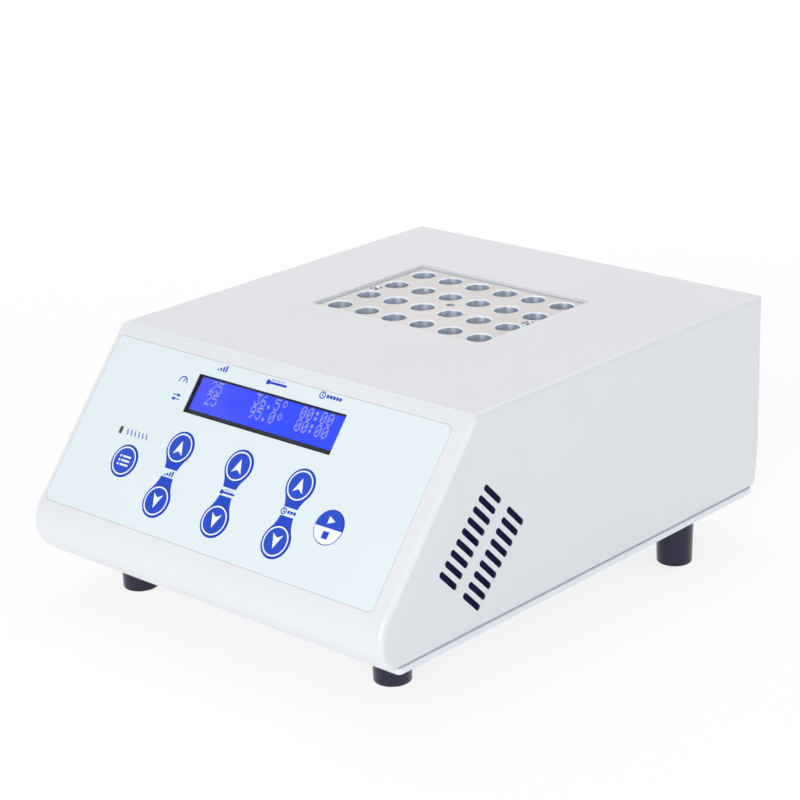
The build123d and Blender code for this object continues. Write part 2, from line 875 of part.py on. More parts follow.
def insulation_tray():
    """Moulded insulation that holds the heater stack and surrounds the block."""
    tray_height = tray_top_z - tray_z
    tray = Pos(block_x, block_y, tray_z) * slab(tray_width, tray_depth, tray_height, tray_wall / 2)
    tray -= Pos(block_x, block_y, clamp_z) * slab(tray_inner_width, tray_inner_depth, tray_height)
    for x, y in heater_screw_places():
        tray -= Pos(x, y, tray_z) * rod(machine_screw_radius + hole_clearance, tray_floor)
    tray -= Pos(block_x, block_y, tray_z) * rod(cutoff_radius + cutoff_pocket_gap, tray_floor)
    sensor_z = heater_plate_z + heater_plate_thickness / 2
    channel = Rot(-90, 0, 0) * rod(sensor_radius + hole_clearance, 2 * tray_wall)
    return tray - Pos(block_x, block_y + tray_inner_depth / 2 - tray_wall / 2, sensor_z) * channel


def carrier_plate():
    """Steel plate on posts that carries the insulation tray."""
    hole_radius = machine_screw_radius + hole_clearance
    plate = drilled_plate(carrier_width, carrier_depth, carrier_z, carrier_thickness, hole_radius)
    for x, y in post_places():
        plate -= Pos(x, y, carrier_z) * rod(hole_radius, carrier_thickness)
    cutoff_hole = rod(cutoff_radius + 2 * cutoff_pocket_gap, carrier_thickness)
    return plate - Pos(block_x, block_y, carrier_z) * cutoff_hole


def post_places():
    """Centres of the posts under the carrier plate."""
    return [
        (block_x + x, block_y + y)
        for x, y in corner_places(carrier_width, carrier_depth, post_inset_x, post_inset_y)
    ]


def support_posts():
    """Hexagon posts between the base plate and the carrier plate."""
    length = carrier_z - base_top_z
    post = extrude(RegularPolygon(post_radius, 6), length)
    post -= rod(machine_screw_radius + thread_clearance, length)
    return group([Pos(x, y, base_top_z) * post for x, y in post_places()])


def post_screws():
    """Screws into both ends of each support post."""
    grip = (carrier_z - base_top_z - screw_end_gap) / 2
    upper = screw(machine_screw_radius, carrier_thickness + grip, machine_head_radius, machine_head_height)
    lower = screw(machine_screw_radius, base_thickness + grip, machine_head_radius, machine_head_height)
    lower = Rot(180, 0, 0) * lower
    pieces = [Pos(x, y, carrier_z + carrier_thickness) * upper for x, y in post_places()]
    pieces += [Pos(x, y, base_under_z) * lower for x, y in post_places()]
    return group(pieces)


def thermal_cutoff():
    """Disc thermostat under the clamp plate, with two blade terminals."""
    body = Pos(block_x, block_y, clamp_z - cutoff_height) * rod(cutoff_radius, cutoff_height)
    blade = slab(terminal_thickness, terminal_width, terminal_length)
    for side in (-1, 1):
        blade_x = block_x + side * cutoff_radius / 2
        body += Pos(blade_x, block_y, clamp_z - cutoff_height - terminal_length) * blade
    return body


def temperature_sensor():
    """Probe pushed into the edge of the heater plate from the rear."""
    start_y = block_y + block_depth / 2 - sensor_depth + screw_end_gap / 2
    sensor_z = heater_plate_z + heater_plate_thickness / 2
    return Pos(block_x, start_y, sensor_z) * (Rot(-90, 0, 0) * rod(sensor_radius, sensor_length))


def power_inlet():
    """Mains inlet: flange, body, plug socket and the hollow for the fuse drawer."""
    flange = slab(inlet_flange_width, inlet_flange_height, inlet_flange_thickness, inlet_flange_radius)
    body = Pos(0, 0, -inlet_body_depth) * slab(inlet_body_width, inlet_body_height, inlet_body_depth)
    inlet = flange + body
    socket_floor = inlet_flange_thickness - socket_hollow_depth
    socket_outline = Rectangle(socket_width, socket_height)
    socket_outline = chamfer(socket_outline.vertices().group_by(Axis.Y)[-1], socket_corner)
    inlet -= Pos(0, -socket_drop, socket_floor) * extrude(socket_outline, socket_hollow_depth)
    drawer_floor = inlet_flange_thickness - drawer_depth - drawer_clearance
    inlet -= Pos(0, drawer_rise, drawer_floor) * slab(
        drawer_width + 2 * drawer_clearance, drawer_height + 2 * drawer_clearance, inlet_body_depth
    )
    pin_slot = slab(pin_width + 2 * thread_clearance, pin_height + 2 * thread_clearance, inlet_body_depth)
    for x, y, _ in pin_places():
        inlet -= Pos(x, y, -inlet_body_depth) * pin_slot
    screw_hole = rod(cover_screw_radius + hole_clearance, 2 * inlet_flange_thickness)
    for side in (-1, 1):
        inlet -= Pos(side * inlet_screw_spacing / 2, 0, -inlet_flange_thickness / 2) * screw_hole
    return rear * Pos(-inlet_x, inlet_rise, 0) * inlet


def pin_places():
    """Live, neutral and earth pins: across, up and extra reach of each."""
    return [
        (-pin_spread, -socket_drop - earth_pin_rise / 2, 0.0),
        (pin_spread, -socket_drop - earth_pin_rise / 2, 0.0),
        (0.0, -socket_drop + earth_pin_rise, earth_pin_extra),
    ]


def inlet_pins():
    """Three flat pins that pass through the inlet body and end as tabs."""
    floor = inlet_flange_thickness - socket_hollow_depth
    pins = []
    for x, y, extra in pin_places():
        length = pin_reach + extra + inlet_body_depth + floor + pin_tail
        pin = slab(pin_width, pin_height, length)
        pins.append(rear * Pos(-inlet_x + x, inlet_rise + y, -inlet_body_depth - pin_tail) * pin)
    return group(pins)


def inlet_screws():
    """Two screws that hold the inlet flange to the rear wall."""
    one = screw(cover_screw_radius, 3 * wall, cover_head_radius, cover_head_height)
    places = [-inlet_x - inlet_screw_spacing / 2, -inlet_x + inlet_screw_spacing / 2]
    return group([rear * Pos(x, inlet_rise, inlet_flange_thickness) * one for x in places])


def fuse_drawer():
    """Drawer with a finger lip and a trough for the fuse."""
    body = Pos(0, 0, -drawer_depth) * slab(drawer_width, drawer_height, drawer_depth)
    lip_width = drawer_width + 2 * drawer_lip
    lip_height = drawer_height + 2 * drawer_lip
    lip = slab(lip_width, lip_height, drawer_lip_thickness, drawer_lip)
    notch = Pos(0, -lip_height / 2, drawer_lip_thickness / 2) * slab(
        drawer_notch_width, 2 * drawer_lip, drawer_lip_thickness
    )
    drawer = body + lip - notch
    trough = Rot(0, 90, 0) * Cylinder(fuse_radius + pane_clearance, fuse_length + part_clearance)
    drawer -= Pos(0, 0, -fuse_depth) * trough
    drawer -= Pos(0, drawer_height / 2, -fuse_depth) * Box(
        fuse_length + part_clearance, drawer_height, 2 * (fuse_radius + pane_clearance)
    )
    return rear * Pos(-inlet_x, inlet_rise + drawer_rise, inlet_flange_thickness) * drawer


def fuse():
    """Glass fuse with metal caps, lying across the drawer."""
    tube = Cylinder(fuse_glass_radius, fuse_length - fuse_cap_length)
    cap = Cylinder(fuse_radius, fuse_cap_length)
    for side in (-1, 1):
        tube += Pos(0, 0, side * (fuse_length - fuse_cap_length) / 2) * cap
    place = Pos(-inlet_x, inlet_rise + drawer_rise, inlet_flange_thickness - fuse_depth)
    return rear * place * (Rot(0, 90, 0) * tube)


def switch_body_width():
    """Outer width of the switch body behind the rear wall."""
    return rocker_width + 2 * rocker_clearance + 2 * switch_wall


def switch_body_height():
    """Outer height of the switch body behind the rear wall."""
    return 2 * (rocker_swing + rocker_clearance + switch_wall)


def power_switch():
    """Switch body with a snap flange, the rocker hollow and two blade terminals."""
    flange = slab(switch_flange_width, switch_flange_height, switch_flange_thickness, switch_wall)
    body = slab(switch_body_width(), switch_body_height(), switch_body_depth)
    switch = flange + Pos(0, 0, -switch_body_depth) * body
    hollow_depth = rocker_swing * sin(tilt) + rocker_skirt + rocker_floor_gap
    switch -= Pos(0, 0, -hollow_depth) * slab(
        rocker_width + 2 * rocker_clearance, 2 * (rocker_swing + rocker_clearance), 2 * hollow_depth
    )
    pivot = Cylinder(rocker_pin_radius + thread_clearance, rocker_pin_span() + part_clearance)
    switch -= Rot(0, 90, 0) * pivot
    blade = slab(terminal_thickness, terminal_width, terminal_length)
    for side in (-1, 1):
        switch += Pos(0, side * terminal_width, -switch_body_depth - terminal_length) * blade
    return rear * Pos(-switch_x, inlet_rise, 0) * switch


def rocker_pin_span():
    """Overall length of the rocker with its pivot pins."""
    return rocker_width + 2 * rocker_clearance + 2 * rocker_pin_reach


def switch_rocker():
    """Rocker with a shallow valley, round ends and pivot pins, shown at off."""
    end_half = sqrt(rocker_swing**2 - rocker_skirt**2)
    with BuildSketch(Plane.YZ) as outline:
        with BuildLine():
            Line((0, rocker_valley), (rocker_half_length, rocker_rise))
            RadiusArc((rocker_half_length, rocker_rise), (end_half, -rocker_skirt), rocker_swing)
            Line((end_half, -rocker_skirt), (-end_half, -rocker_skirt))
            RadiusArc((-end_half, -rocker_skirt), (-rocker_half_length, rocker_rise), rocker_swing)
            Line((-rocker_half_length, rocker_rise), (0, rocker_valley))
        make_face()
    rocker = extrude(outline.sketch, rocker_width / 2, both=True)
    rocker += Rot(0, 90, 0) * Cylinder(rocker_pin_radius, rocker_pin_span())
    return rear * Pos(-switch_x, inlet_rise, 0) * (Rot(rocker_tilt, 0, 0) * rocker)


def standoff_places():
    """Centres of the power board standoffs."""
    return [
        (power_board_x + x, power_board_y + y)
        for x, y in corner_places(power_board_width, power_board_depth, standoff_inset, standoff_inset)
    ]


def power_board():
    """Power supply and heater control board."""
    board = Pos(power_board_x, power_board_y, power_board_z) * slab(
        power_board_width, power_board_depth, board_thickness
    )
    for x, y in standoff_places():
        board -= Pos(x, y, power_board_z) * rod(cover_screw_radius + hole_clearance, board_thickness)
    return board


def power_board_standoffs():
    """Tubes between the base plate and the power board."""
    tube = rod(standoff_radius, standoff_height)
    tube -= rod(cover_screw_radius + thread_clearance, standoff_height)
    return group([Pos(x, y, base_top_z) * tube for x, y in standoff_places()])


def power_board_screws():
    """Screws into both ends of each standoff."""
    grip = (standoff_height - screw_end_gap) / 2
    upper = screw(cover_screw_radius, board_thickness + grip, cover_head_radius, cover_head_height)
    lower = screw(cover_screw_radius, base_thickness + grip, cover_head_radius, cover_head_height)
    lower = Rot(180, 0, 0) * lower
    pieces = [Pos(x, y, power_board_top_z) * upper for x, y in standoff_places()]
    pieces += [Pos(x, y, base_under_z) * lower for x, y in standoff_places()]
    return group(pieces)


def transformer_place():
    """The transformer stands at the left rear of the power board."""
    x = power_board_left_x + transformer_side_inset
    return Pos(x, power_board_rear_y - transformer_end_inset, power_board_top_z)


def transformer_core():
    """Laminated iron core with two windows."""
    core = slab(transformer_width, transformer_depth, transformer_height)
    gap_width = (transformer_width - transformer_coil_width) / 2
    gap_z = (transformer_height - transformer_coil_height) / 2
    gap = slab(gap_width, 2 * transformer_depth, transformer_coil_height)
    for side in (-1, 1):
        core -= Pos(side * transformer_width / 4, 0, gap_z) * gap
    return transformer_place() * core


def transformer_coil():
    """Wound coil around the middle limb of the core."""
    width = transformer_width - transformer_coil_width / 2 - part_clearance
    height = transformer_coil_height - part_clearance
    coil = slab(width, transformer_coil_depth, height, transformer_coil_corner)
    place = transformer_place() * Pos(0, 0, (transformer_height - transformer_coil_height) / 2)
    return place * coil - transformer_core()


def heatsink():
    """Finned heat sink of the heater switch."""
    sink = slab(heatsink_width, heatsink_base, heatsink_height)
    fin = slab(heatsink_fin_thickness, heatsink_depth, heatsink_height)
    pitch = (heatsink_width - heatsink_fin_thickness) / (heatsink_fins - 1)
    for index in range(heatsink_fins):
        fin_x = -heatsink_width / 2 + heatsink_fin_thickness / 2 + index * pitch
        sink += Pos(fin_x, heatsink_depth / 2, 0) * fin
    x = power_board_right_x - heatsink_side_inset
    return Pos(x, power_board_rear_y - heatsink_end_inset, power_board_top_z) * sink


def board_parts():
    """Two capacitors and the terminal block on the power board."""
    can = rod(capacitor_radius, capacitor_height)
    can = fillet(can.edges().group_by(Axis.Z)[-1], capacitor_edge_radius)
    can_x = power_board_left_x + capacitor_side_inset
    can_y = power_board_front_y + capacitor_front_inset
    cans = [Pos(x, can_y, power_board_top_z) * can for x in (can_x, can_x + capacitor_pitch)]
    left = film_x + header_width / 2 + terminal_block_header_gap
    right = power_board_right_x - terminal_block_side_gap
    terminals = slab(right - left, terminal_block_depth, terminal_block_height)
    terminals_y = power_board_front_y + terminal_block_depth
    return group(cans + [Pos((left + right) / 2, terminals_y, power_board_top_z) * terminals])


def ribbon_route():
    """The ribbon leaves the control board, bends down and ends on the power board."""
    leave = on_panel(0, film_down, control_board_back + header_depth).position
    land_y = power_board_front_y + header_depth
    land = Vector(0, land_y, power_board_top_z + header_height)
    return leave, land


def ribbon_cable():
    """Flat ribbon cable between the two boards."""
    leave, land = ribbon_route()
    away_depth = control_board_back + header_depth + ribbon_lead
    away = on_panel(0, film_down, away_depth).position
    corners = [(leave.Y, leave.Z), (away.Y, away.Z), (land.Y, land.Z + ribbon_drop), (land.Y, land.Z)]
    with BuildLine() as path:
        FilletPolyline(*corners, radius=ribbon_bend)
    strip = extrude(trace(path.line, ribbon_thickness), ribbon_width / 2, both=True)
    return Plane.YZ.offset(film_x) * strip


def cable_headers():
    """Connectors at both ends of the ribbon cable."""
    _, land = ribbon_route()
    upper_place = on_panel(film_x, film_down, control_board_back + header_depth)
    upper = upper_place * slab(header_width, header_depth, header_depth)
    lower = slab(header_width, header_depth, header_height)
    return group([upper, Pos(film_x, land.Y, power_board_top_z) * lower])


nodes = {
    "housing_cover": housing_cover(),
    "base_plate": base_plate(),
    "foot_screws": foot_screws(),
    "foot_nuts": foot_nuts(),
    "cover_screws": cover_screws(),
    "front_film": front_film(),
    "display_window": display_window(),
    "display_bezel": display_bezel(),
    "display_glass": display_glass(),
    "display_backlight": display_backlight(),
    "display_board": display_board(),
    "display_spacers": display_spacers(),
    "control_board": control_board(),
    "control_board_screws": control_board_screws(),
    "snap_switches": snap_switches(),
    "control_chips": control_chips(),
    "heating_lamp": heating_lamp(),
    "sample_block": sample_block(),
    "block_screws": block_screws(),
    "heater_plate": heater_plate(),
    "heater_mat": stack_layer(heater_mat_z, heater_mat_thickness),
    "heater_clamp": stack_layer(clamp_z, clamp_thickness),
    "heater_screws": heater_screws(),
    "insulation_tray": insulation_tray(),
    "carrier_plate": carrier_plate(),
    "support_posts": support_posts(),
    "post_screws": post_screws(),
    "thermal_cutoff": thermal_cutoff(),
    "temperature_sensor": temperature_sensor(),
    "power_inlet": power_inlet(),
    "inlet_pins": inlet_pins(),
    "inlet_screws": inlet_screws(),
    "fuse_drawer": fuse_drawer(),
    "fuse": fuse(),
    "power_switch": power_switch(),
    "switch_rocker": switch_rocker(),
    "power_board": power_board(),
    "power_board_standoffs": power_board_standoffs(),
    "power_board_screws": power_board_screws(),
    "transformer_core": transformer_core(),
    "transformer_coil": transformer_coil(),
    "heatsink": heatsink(),
    "board_parts": board_parts(),
    "ribbon_cable": ribbon_cable(),
    "cable_headers": cable_headers(),
}
for name, (x, y) in foot_places.items():
    nodes[f"foot_{name}"] = Pos(x, y, 0) * foot()
for name, place in key_places.items():
    nodes[name] = key(*place)

os.makedirs("parts", exist_ok=True)
for name, shape in nodes.items():
    export_step(shape, f"parts/{name}.step")
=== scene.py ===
import json
from math import atan2, cos, degrees, pi, radians, sin
import bpy
from mathutils import Matrix, Vector


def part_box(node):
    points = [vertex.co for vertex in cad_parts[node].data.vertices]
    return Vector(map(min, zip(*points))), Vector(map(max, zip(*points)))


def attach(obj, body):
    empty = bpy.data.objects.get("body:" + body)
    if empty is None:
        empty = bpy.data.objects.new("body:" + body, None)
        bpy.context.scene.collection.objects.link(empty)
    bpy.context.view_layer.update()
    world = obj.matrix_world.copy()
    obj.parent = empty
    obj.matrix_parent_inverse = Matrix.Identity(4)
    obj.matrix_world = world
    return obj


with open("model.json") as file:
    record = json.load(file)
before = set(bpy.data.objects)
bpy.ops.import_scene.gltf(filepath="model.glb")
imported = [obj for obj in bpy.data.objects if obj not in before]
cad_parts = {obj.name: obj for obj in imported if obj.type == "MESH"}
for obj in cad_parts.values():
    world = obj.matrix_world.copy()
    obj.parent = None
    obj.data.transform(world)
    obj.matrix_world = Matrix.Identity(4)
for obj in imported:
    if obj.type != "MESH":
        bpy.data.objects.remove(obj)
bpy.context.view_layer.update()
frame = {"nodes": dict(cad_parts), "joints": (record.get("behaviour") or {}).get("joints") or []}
nodes = frame["nodes"]

# Studio. The machine stands on a wide pale floor in a white surround, under two
# large soft lamps and one fill lamp, seen from the right of its front and above.
mm = 0.001
camera_place = Vector((667.324, -732.348, 426.520)) * mm
camera_turn = (radians(70.6157), radians(1.6600), radians(41.9242))
camera_lens = 104.63
sensor_width = 36.0
lamp_target = Vector((0.0, 0.0, 0.05))
lamps = {  # place, width and height in metres, watts, colour
    "overhead_softbox": ((-0.50, 0.55, 1.25), (1.5, 1.3), 6.2, (1.0, 0.99, 0.98)),
    "front_softbox": ((0.35, -1.30, 0.50), (1.1, 0.8), 9.4, (0.97, 0.99, 1.0)),
    "side_fill": ((1.55, 0.25, 0.45), (1.0, 0.8), 4.0, (0.90, 0.96, 1.0)),
}
pure_white = (1.0, 1.0, 1.0, 1.0)
surround_light = 0.52
floor_rings = (0.0, 0.15, 0.3, 0.6, 1.2, 2.4, 4.0)
floor_spokes = 48
floor_drop = 0.0001
floor_albedo = 0.90
floor_glow = 0.12
floor_fade = (0.25, 0.75)
shadow_share = 0.26
floor_lift = 0.17

scene = bpy.context.scene
scene.view_settings.view_transform = "Standard"

camera = bpy.data.objects.new("camera", bpy.data.cameras.new("camera"))
camera.data.sensor_width = sensor_width
camera.data.lens = camera_lens
camera.location = camera_place
camera.rotation_euler = camera_turn
scene.collection.objects.link(camera)
scene.camera = camera

for name, (place, size, power, colour) in lamps.items():
    lamp = bpy.data.lights.new(name, "AREA")
    lamp.shape = "RECTANGLE"
    lamp.size, lamp.size_y = size
    lamp.energy = power
    lamp.color = colour
    holder = bpy.data.objects.new(name, lamp)
    holder.location = place
    holder.rotation_euler = (lamp_target - Vector(place)).to_track_quat("-Z", "Y").to_euler()
    scene.collection.objects.link(holder)


def add(tree, kind, sockets=None, **settings):
    """Add a node to a tree; sockets take a plain value or another node's output."""
    node = tree.nodes.new(kind)
    for name, value in settings.items():
        setattr(node, name, value)
    for key, value in (sockets or {}).items():
        if isinstance(value, bpy.types.NodeSocket):
            tree.links.new(value, node.inputs[key])
        else:
            node.inputs[key].default_value = value
    return node


def maths(tree, operation, first, second=0.0, clamp=False):
    """Result of one sum on two values."""
    sockets = {0: first, 1: second}
    return add(tree, "ShaderNodeMath", sockets, operation=operation, use_clamp=clamp).outputs[0]


def ramp(tree, value, low, high, to_low=0.0, to_high=1.0):
    """Value mapped smoothly from one range to another."""
    sockets = {
        "Value": value, "From Min": low, "From Max": high, "To Min": to_low, "To Max": to_high,
    }
    mapped = add(tree, "ShaderNodeMapRange", sockets, interpolation_type="SMOOTHSTEP")
    return mapped.outputs["Result"]


def seen_directly(tree):
    """One where a surface is seen by the camera, in a mirror or through glass."""
    path = add(tree, "ShaderNodeLightPath").outputs
    sharp = maths(tree, "MAXIMUM", path["Is Glossy Ray"], path["Is Transmission Ray"])
    return maths(tree, "MAXIMUM", path["Is Camera Ray"], sharp)


def quads_between(rings, points):
    """Four cornered faces that join each closed ring of points to the next one."""
    made = []
    for ring in range(rings - 1):
        here, onward = ring * points, (ring + 1) * points
        for point in range(points):
            beside = (point + 1) % points
            made.append((here + point, onward + point, onward + beside, here + beside))
    return made


surround = bpy.data.worlds.new("surround")
surround.use_nodes = True
scene.world = surround
tree = surround.node_tree
backdrop = tree.nodes["Background"].inputs
backdrop["Color"].default_value = pure_white
strength = ramp(tree, seen_directly(tree), 0.0, 1.0, surround_light, 1.0)
tree.links.new(strength, backdrop["Strength"])

spoke_turns = [2 * pi * spoke / floor_spokes for spoke in range(floor_spokes)]
corners = [
    (radius * cos(turn), radius * sin(turn), -floor_drop)
    for radius in floor_rings
    for turn in spoke_turns
]
floor_mesh = bpy.data.meshes.new("floor")
floor_mesh.from_pydata(corners, [], quads_between(len(floor_rings), floor_spokes))
floor_mesh.validate()
floor = bpy.data.objects.new("floor", floor_mesh)
scene.collection.objects.link(floor)

# The floor is painted pale; near the machine it keeps a share of the real shadow, and
# further out it turns into the plain white of the surround.
floor_paint = bpy.data.materials.new("floor_paint")
floor_paint.use_nodes = True
floor_mesh.materials.append(floor_paint)
tree = floor_paint.node_tree
tree.nodes.remove(tree.nodes["Principled BSDF"])
place = add(tree, "ShaderNodeTexCoord").outputs["Object"]
away = add(tree, "ShaderNodeVectorMath", {0: place}, operation="LENGTH").outputs["Value"]
keep = ramp(tree, away, *floor_fade, shadow_share, 0.0)
paint = add(tree, "ShaderNodeBsdfDiffuse", {"Color": (floor_albedo,) * 3 + (1.0,)})
white, lifted, glow = (
    add(tree, "ShaderNodeEmission", {"Color": pure_white, "Strength": light})
    for light in (1.0, floor_lift, floor_glow)
)
shaded = add(tree, "ShaderNodeAddShader", {0: paint.outputs[0], 1: lifted.outputs[0]})
seen = add(tree, "ShaderNodeMixShader", {0: keep, 1: white.outputs[0], 2: shaded.outputs[0]})
bounced = add(tree, "ShaderNodeAddShader", {0: paint.outputs[0], 1: glow.outputs[0]})
surface = add(
    tree, "ShaderNodeMixShader",
    {0: seen_directly(tree), 1: bounced.outputs[0], 2: seen.outputs[0]},
)
tree.links.new(surface.outputs[0], tree.nodes["Material Output"].inputs["Surface"])


# Base plate. One flat sheet of steel, punched for air, feet and screws, then painted
# in the white of the cover. It closes the cover from below and carries every foot.
paint_white = (0.80, 0.84, 0.89)
paint_shade = (0.76, 0.80, 0.87)
paint_worn = (0.60, 0.62, 0.65)
dust_grey = (0.62, 0.62, 0.60)


def effect(name, inputs, outputs):
    """Start a shader node group with named inputs and outputs."""
    group = bpy.data.node_groups.new(name, "ShaderNodeTree")
    kinds = {"colour": "NodeSocketColor", "value": "NodeSocketFloat"}
    for label, kind in inputs.items():
        group.interface.new_socket(label, in_out="INPUT", socket_type=kinds[kind])
    for label, kind in outputs.items():
        group.interface.new_socket(label, in_out="OUTPUT", socket_type=kinds[kind])
    start = group.nodes.new("NodeGroupInput").outputs
    return group, start, group.nodes.new("NodeGroupOutput").inputs


def fill(tree, socket, value):
    """Give a socket another node's output, a colour or a plain number."""
    if isinstance(value, bpy.types.NodeSocket):
        tree.links.new(value, socket)
    elif isinstance(value, tuple):
        socket.default_value = (*value, 1.0)
    else:
        socket.default_value = value


def use(tree, group, **values):
    """Place an effect in a material and give its inputs their values."""
    node = tree.nodes.new("ShaderNodeGroup")
    node.node_tree = group
    for key, value in values.items():
        fill(tree, node.inputs[key], value)
    return node.outputs


def colour_mix(tree, share, first, second):
    """Blend of two colours by a mask."""
    node = tree.nodes.new("ShaderNodeMix")
    node.data_type = "RGBA"
    chosen = {socket.name: socket for socket in node.inputs if socket.enabled}
    for key, value in (("Factor", share), ("A", first), ("B", second)):
        fill(tree, chosen[key], value)
    return next(socket for socket in node.outputs if socket.enabled)


def noise(tree, scale, detail=2.0, stretch=None, roughness=0.5):
    """Cloudy pattern fixed to the piece, in grains per metre."""
    place = add(tree, "ShaderNodeTexCoord").outputs["Object"]
    if stretch:
        place = add(tree, "ShaderNodeMapping", {"Vector": place, "Scale": stretch}).outputs[0]
    sockets = {"Vector": place, "Scale": scale, "Detail": detail, "Roughness": roughness}
    return add(tree, "ShaderNodeTexNoise", sockets).outputs["Fac"]


# Fine skin of a moulded or painted surface: cloudy tint, grain and uneven gloss.
cloud_grains = 14.0
cloud_span = (0.3, 0.7)
noise_middle = 0.5
fine_skin, start, end = effect(
    "fine_skin",
    {
        "Colour": "colour", "Tint": "colour", "Mottle": "value", "Grain": "value",
        "Rough": "value", "Spread": "value",
    },
    {"Colour": "colour", "Roughness": "value", "Height": "value"},
)
clouds = noise(fine_skin, cloud_grains, detail=4.0)
pores = noise(fine_skin, start["Grain"], detail=3.0)
share = maths(fine_skin, "MULTIPLY", ramp(fine_skin, clouds, *cloud_span), start["Mottle"])
fine_skin.links.new(colour_mix(fine_skin, share, start["Colour"], start["Tint"]), end["Colour"])
uneven, specks = (
    maths(fine_skin, "MULTIPLY", maths(fine_skin, "SUBTRACT", part, noise_middle), start["Spread"])
    for part in (clouds, pores)
)
rough = maths(fine_skin, "ADD", start["Rough"], maths(fine_skin, "ADD", uneven, specks))
fine_skin.links.new(rough, end["Roughness"])
fine_skin.links.new(pores, end["Height"])

# Rubbed edges and painted edge highlights: a paler colour on sharp outer edges, broken up by a
# fine noise. On paint, rubber, moulded plastic and the heat sink it is wear; on other metal and on
# the sample block it is a painted highlight. The bend is the cosine between the true normal and
# one rounded over the width of the edge.
edge_bend = (0.97, 0.80)
rub_grains = 900.0
rub_span = (0.35, 0.65)
edge_wear_and_highlight, start, end = effect(
    "edge_wear_and_highlight",
    {"Colour": "colour", "Worn": "colour", "Width": "value", "Amount": "value"},
    {"Colour": "colour"},
)
true_normal = add(edge_wear_and_highlight, "ShaderNodeNewGeometry").outputs["Normal"]
rounded = add(edge_wear_and_highlight, "ShaderNodeBevel", {"Radius": start["Width"]}, samples=4)
facing = add(
    edge_wear_and_highlight, "ShaderNodeVectorMath", {0: true_normal, 1: rounded.outputs["Normal"]},
    operation="DOT_PRODUCT",
)
bent = ramp(edge_wear_and_highlight, facing.outputs["Value"], *edge_bend)
scuffs = ramp(edge_wear_and_highlight, noise(edge_wear_and_highlight, rub_grains, detail=3.0), *rub_span)
broken = maths(edge_wear_and_highlight, "MULTIPLY", bent, scuffs)
# Edge mask: wear on paint, rubber and plastic, a painted highlight on metal and the sample block.
worn = maths(edge_wear_and_highlight, "MULTIPLY", broken, start["Amount"], clamp=True)
paler = colour_mix(edge_wear_and_highlight, worn, start["Colour"], start["Worn"])
edge_wear_and_highlight.links.new(paler, end["Colour"])

# Settled dust: a thin pale film on faces that look up, thicker in patches.
dust_facing = (0.2, 0.95)
dust_grains = 60.0
dust_span = (0.35, 0.8)
settled_dust, start, end = effect(
    "settled_dust",
    {"Colour": "colour", "Dust": "colour", "Amount": "value"},
    {"Colour": "colour"},
)
normal = add(settled_dust, "ShaderNodeNewGeometry").outputs["Normal"]
rise = add(settled_dust, "ShaderNodeSeparateXYZ", {0: normal}).outputs["Z"]
upward = ramp(settled_dust, rise, *dust_facing)
flecks = noise(settled_dust, dust_grains, detail=6.0, roughness=0.7)
patches = ramp(settled_dust, flecks, *dust_span)
lying = maths(settled_dust, "MULTIPLY", upward, patches)
film = maths(settled_dust, "MULTIPLY", lying, start["Amount"])
dusted = colour_mix(settled_dust, film, start["Colour"], start["Dust"])
settled_dust.links.new(dusted, end["Colour"])


def finish(
    name, colour, rough, coat=0.0, metal=0.0, bump=0.1, depth=0.00002, coat_rough=0.1, shine=0.5,
):
    """Material with one shader, its plain numbers on its own sockets; depth in metres."""
    made = bpy.data.materials.new(name)
    made.use_nodes = True
    made.diffuse_color = (*colour, 1.0)
    tree = made.node_tree
    shader = tree.nodes["Principled BSDF"]
    shader.inputs["Base Color"].default_value = (*colour, 1.0)
    shader.inputs["Roughness"].default_value = rough
    shader.inputs["Metallic"].default_value = metal
    shader.inputs["Coat Weight"].default_value = coat
    shader.inputs["Coat Roughness"].default_value = coat_rough
    shader.inputs["Specular IOR Level"].default_value = shine
    relief = add(tree, "ShaderNodeBump", {"Strength": bump, "Distance": depth})
    tree.links.new(relief.outputs["Normal"], shader.inputs["Normal"])
    return made, tree, shader.inputs, relief.inputs["Height"]


def skinned(
    name, colour, tint, rough, grain=1500.0, mottle=0.5, spread=0.12, worn=None, wear=0.0,
    edge=0.0006, dust=0.0, **shader,
):
    """Moulded or painted finish: fine skin, then rubbed edges, then a little dust.

    The grain is in grains per metre, and the width of the rubbed edge in metres.
    """
    made, tree, sockets, height = finish(name, colour, rough, **shader)
    skin = use(
        tree, fine_skin, Colour=colour, Tint=tint, Mottle=mottle, Grain=grain, Rough=rough,
        Spread=spread,
    )
    shown = skin["Colour"]
    if worn:
        edged = use(tree, edge_wear_and_highlight, Colour=shown, Worn=worn, Width=edge, Amount=wear)
        shown = edged["Colour"]
    if dust:
        shown = use(tree, settled_dust, Colour=shown, Dust=dust_grey, Amount=dust)["Colour"]
    tree.links.new(shown, sockets["Base Color"])
    tree.links.new(skin["Roughness"], sockets["Roughness"])
    tree.links.new(skin["Height"], height)
    return made


def dress(made, *names):
    """Give CAD nodes a finished material."""
    for name in names:
        for holder in nodes[name].material_slots:
            holder.material = made


base_paint = skinned(
    "base_paint", paint_white, paint_shade, rough=0.34, grain=900.0, worn=paint_worn, wear=0.35,
    dust=0.05, bump=0.12, coat=0.2,
)
dress(base_paint, "base_plate")


# Feet. Four tapered bumpers moulded in dense black rubber, each held by a zinc plated
# machine screw that comes up through it and takes a hexagon nut on top of the base plate.
rubber_black = (0.010, 0.010, 0.032)
rubber_bloom = (0.018, 0.017, 0.050)
rubber_scuffed = (0.05, 0.05, 0.09)
zinc_bright = (0.66, 0.67, 0.69)
zinc_dull = (0.48, 0.49, 0.52)

foot_rubber = skinned(
    "foot_rubber", rubber_black, rubber_bloom, rough=0.24, grain=2200.0, mottle=0.7, dust=0.06,
    worn=rubber_scuffed, wear=0.4, bump=0.15, shine=0.2, coat=0.4, coat_rough=0.07,
)
dress(foot_rubber, "foot_front_left", "foot_front_right", "foot_rear_left", "foot_rear_right")

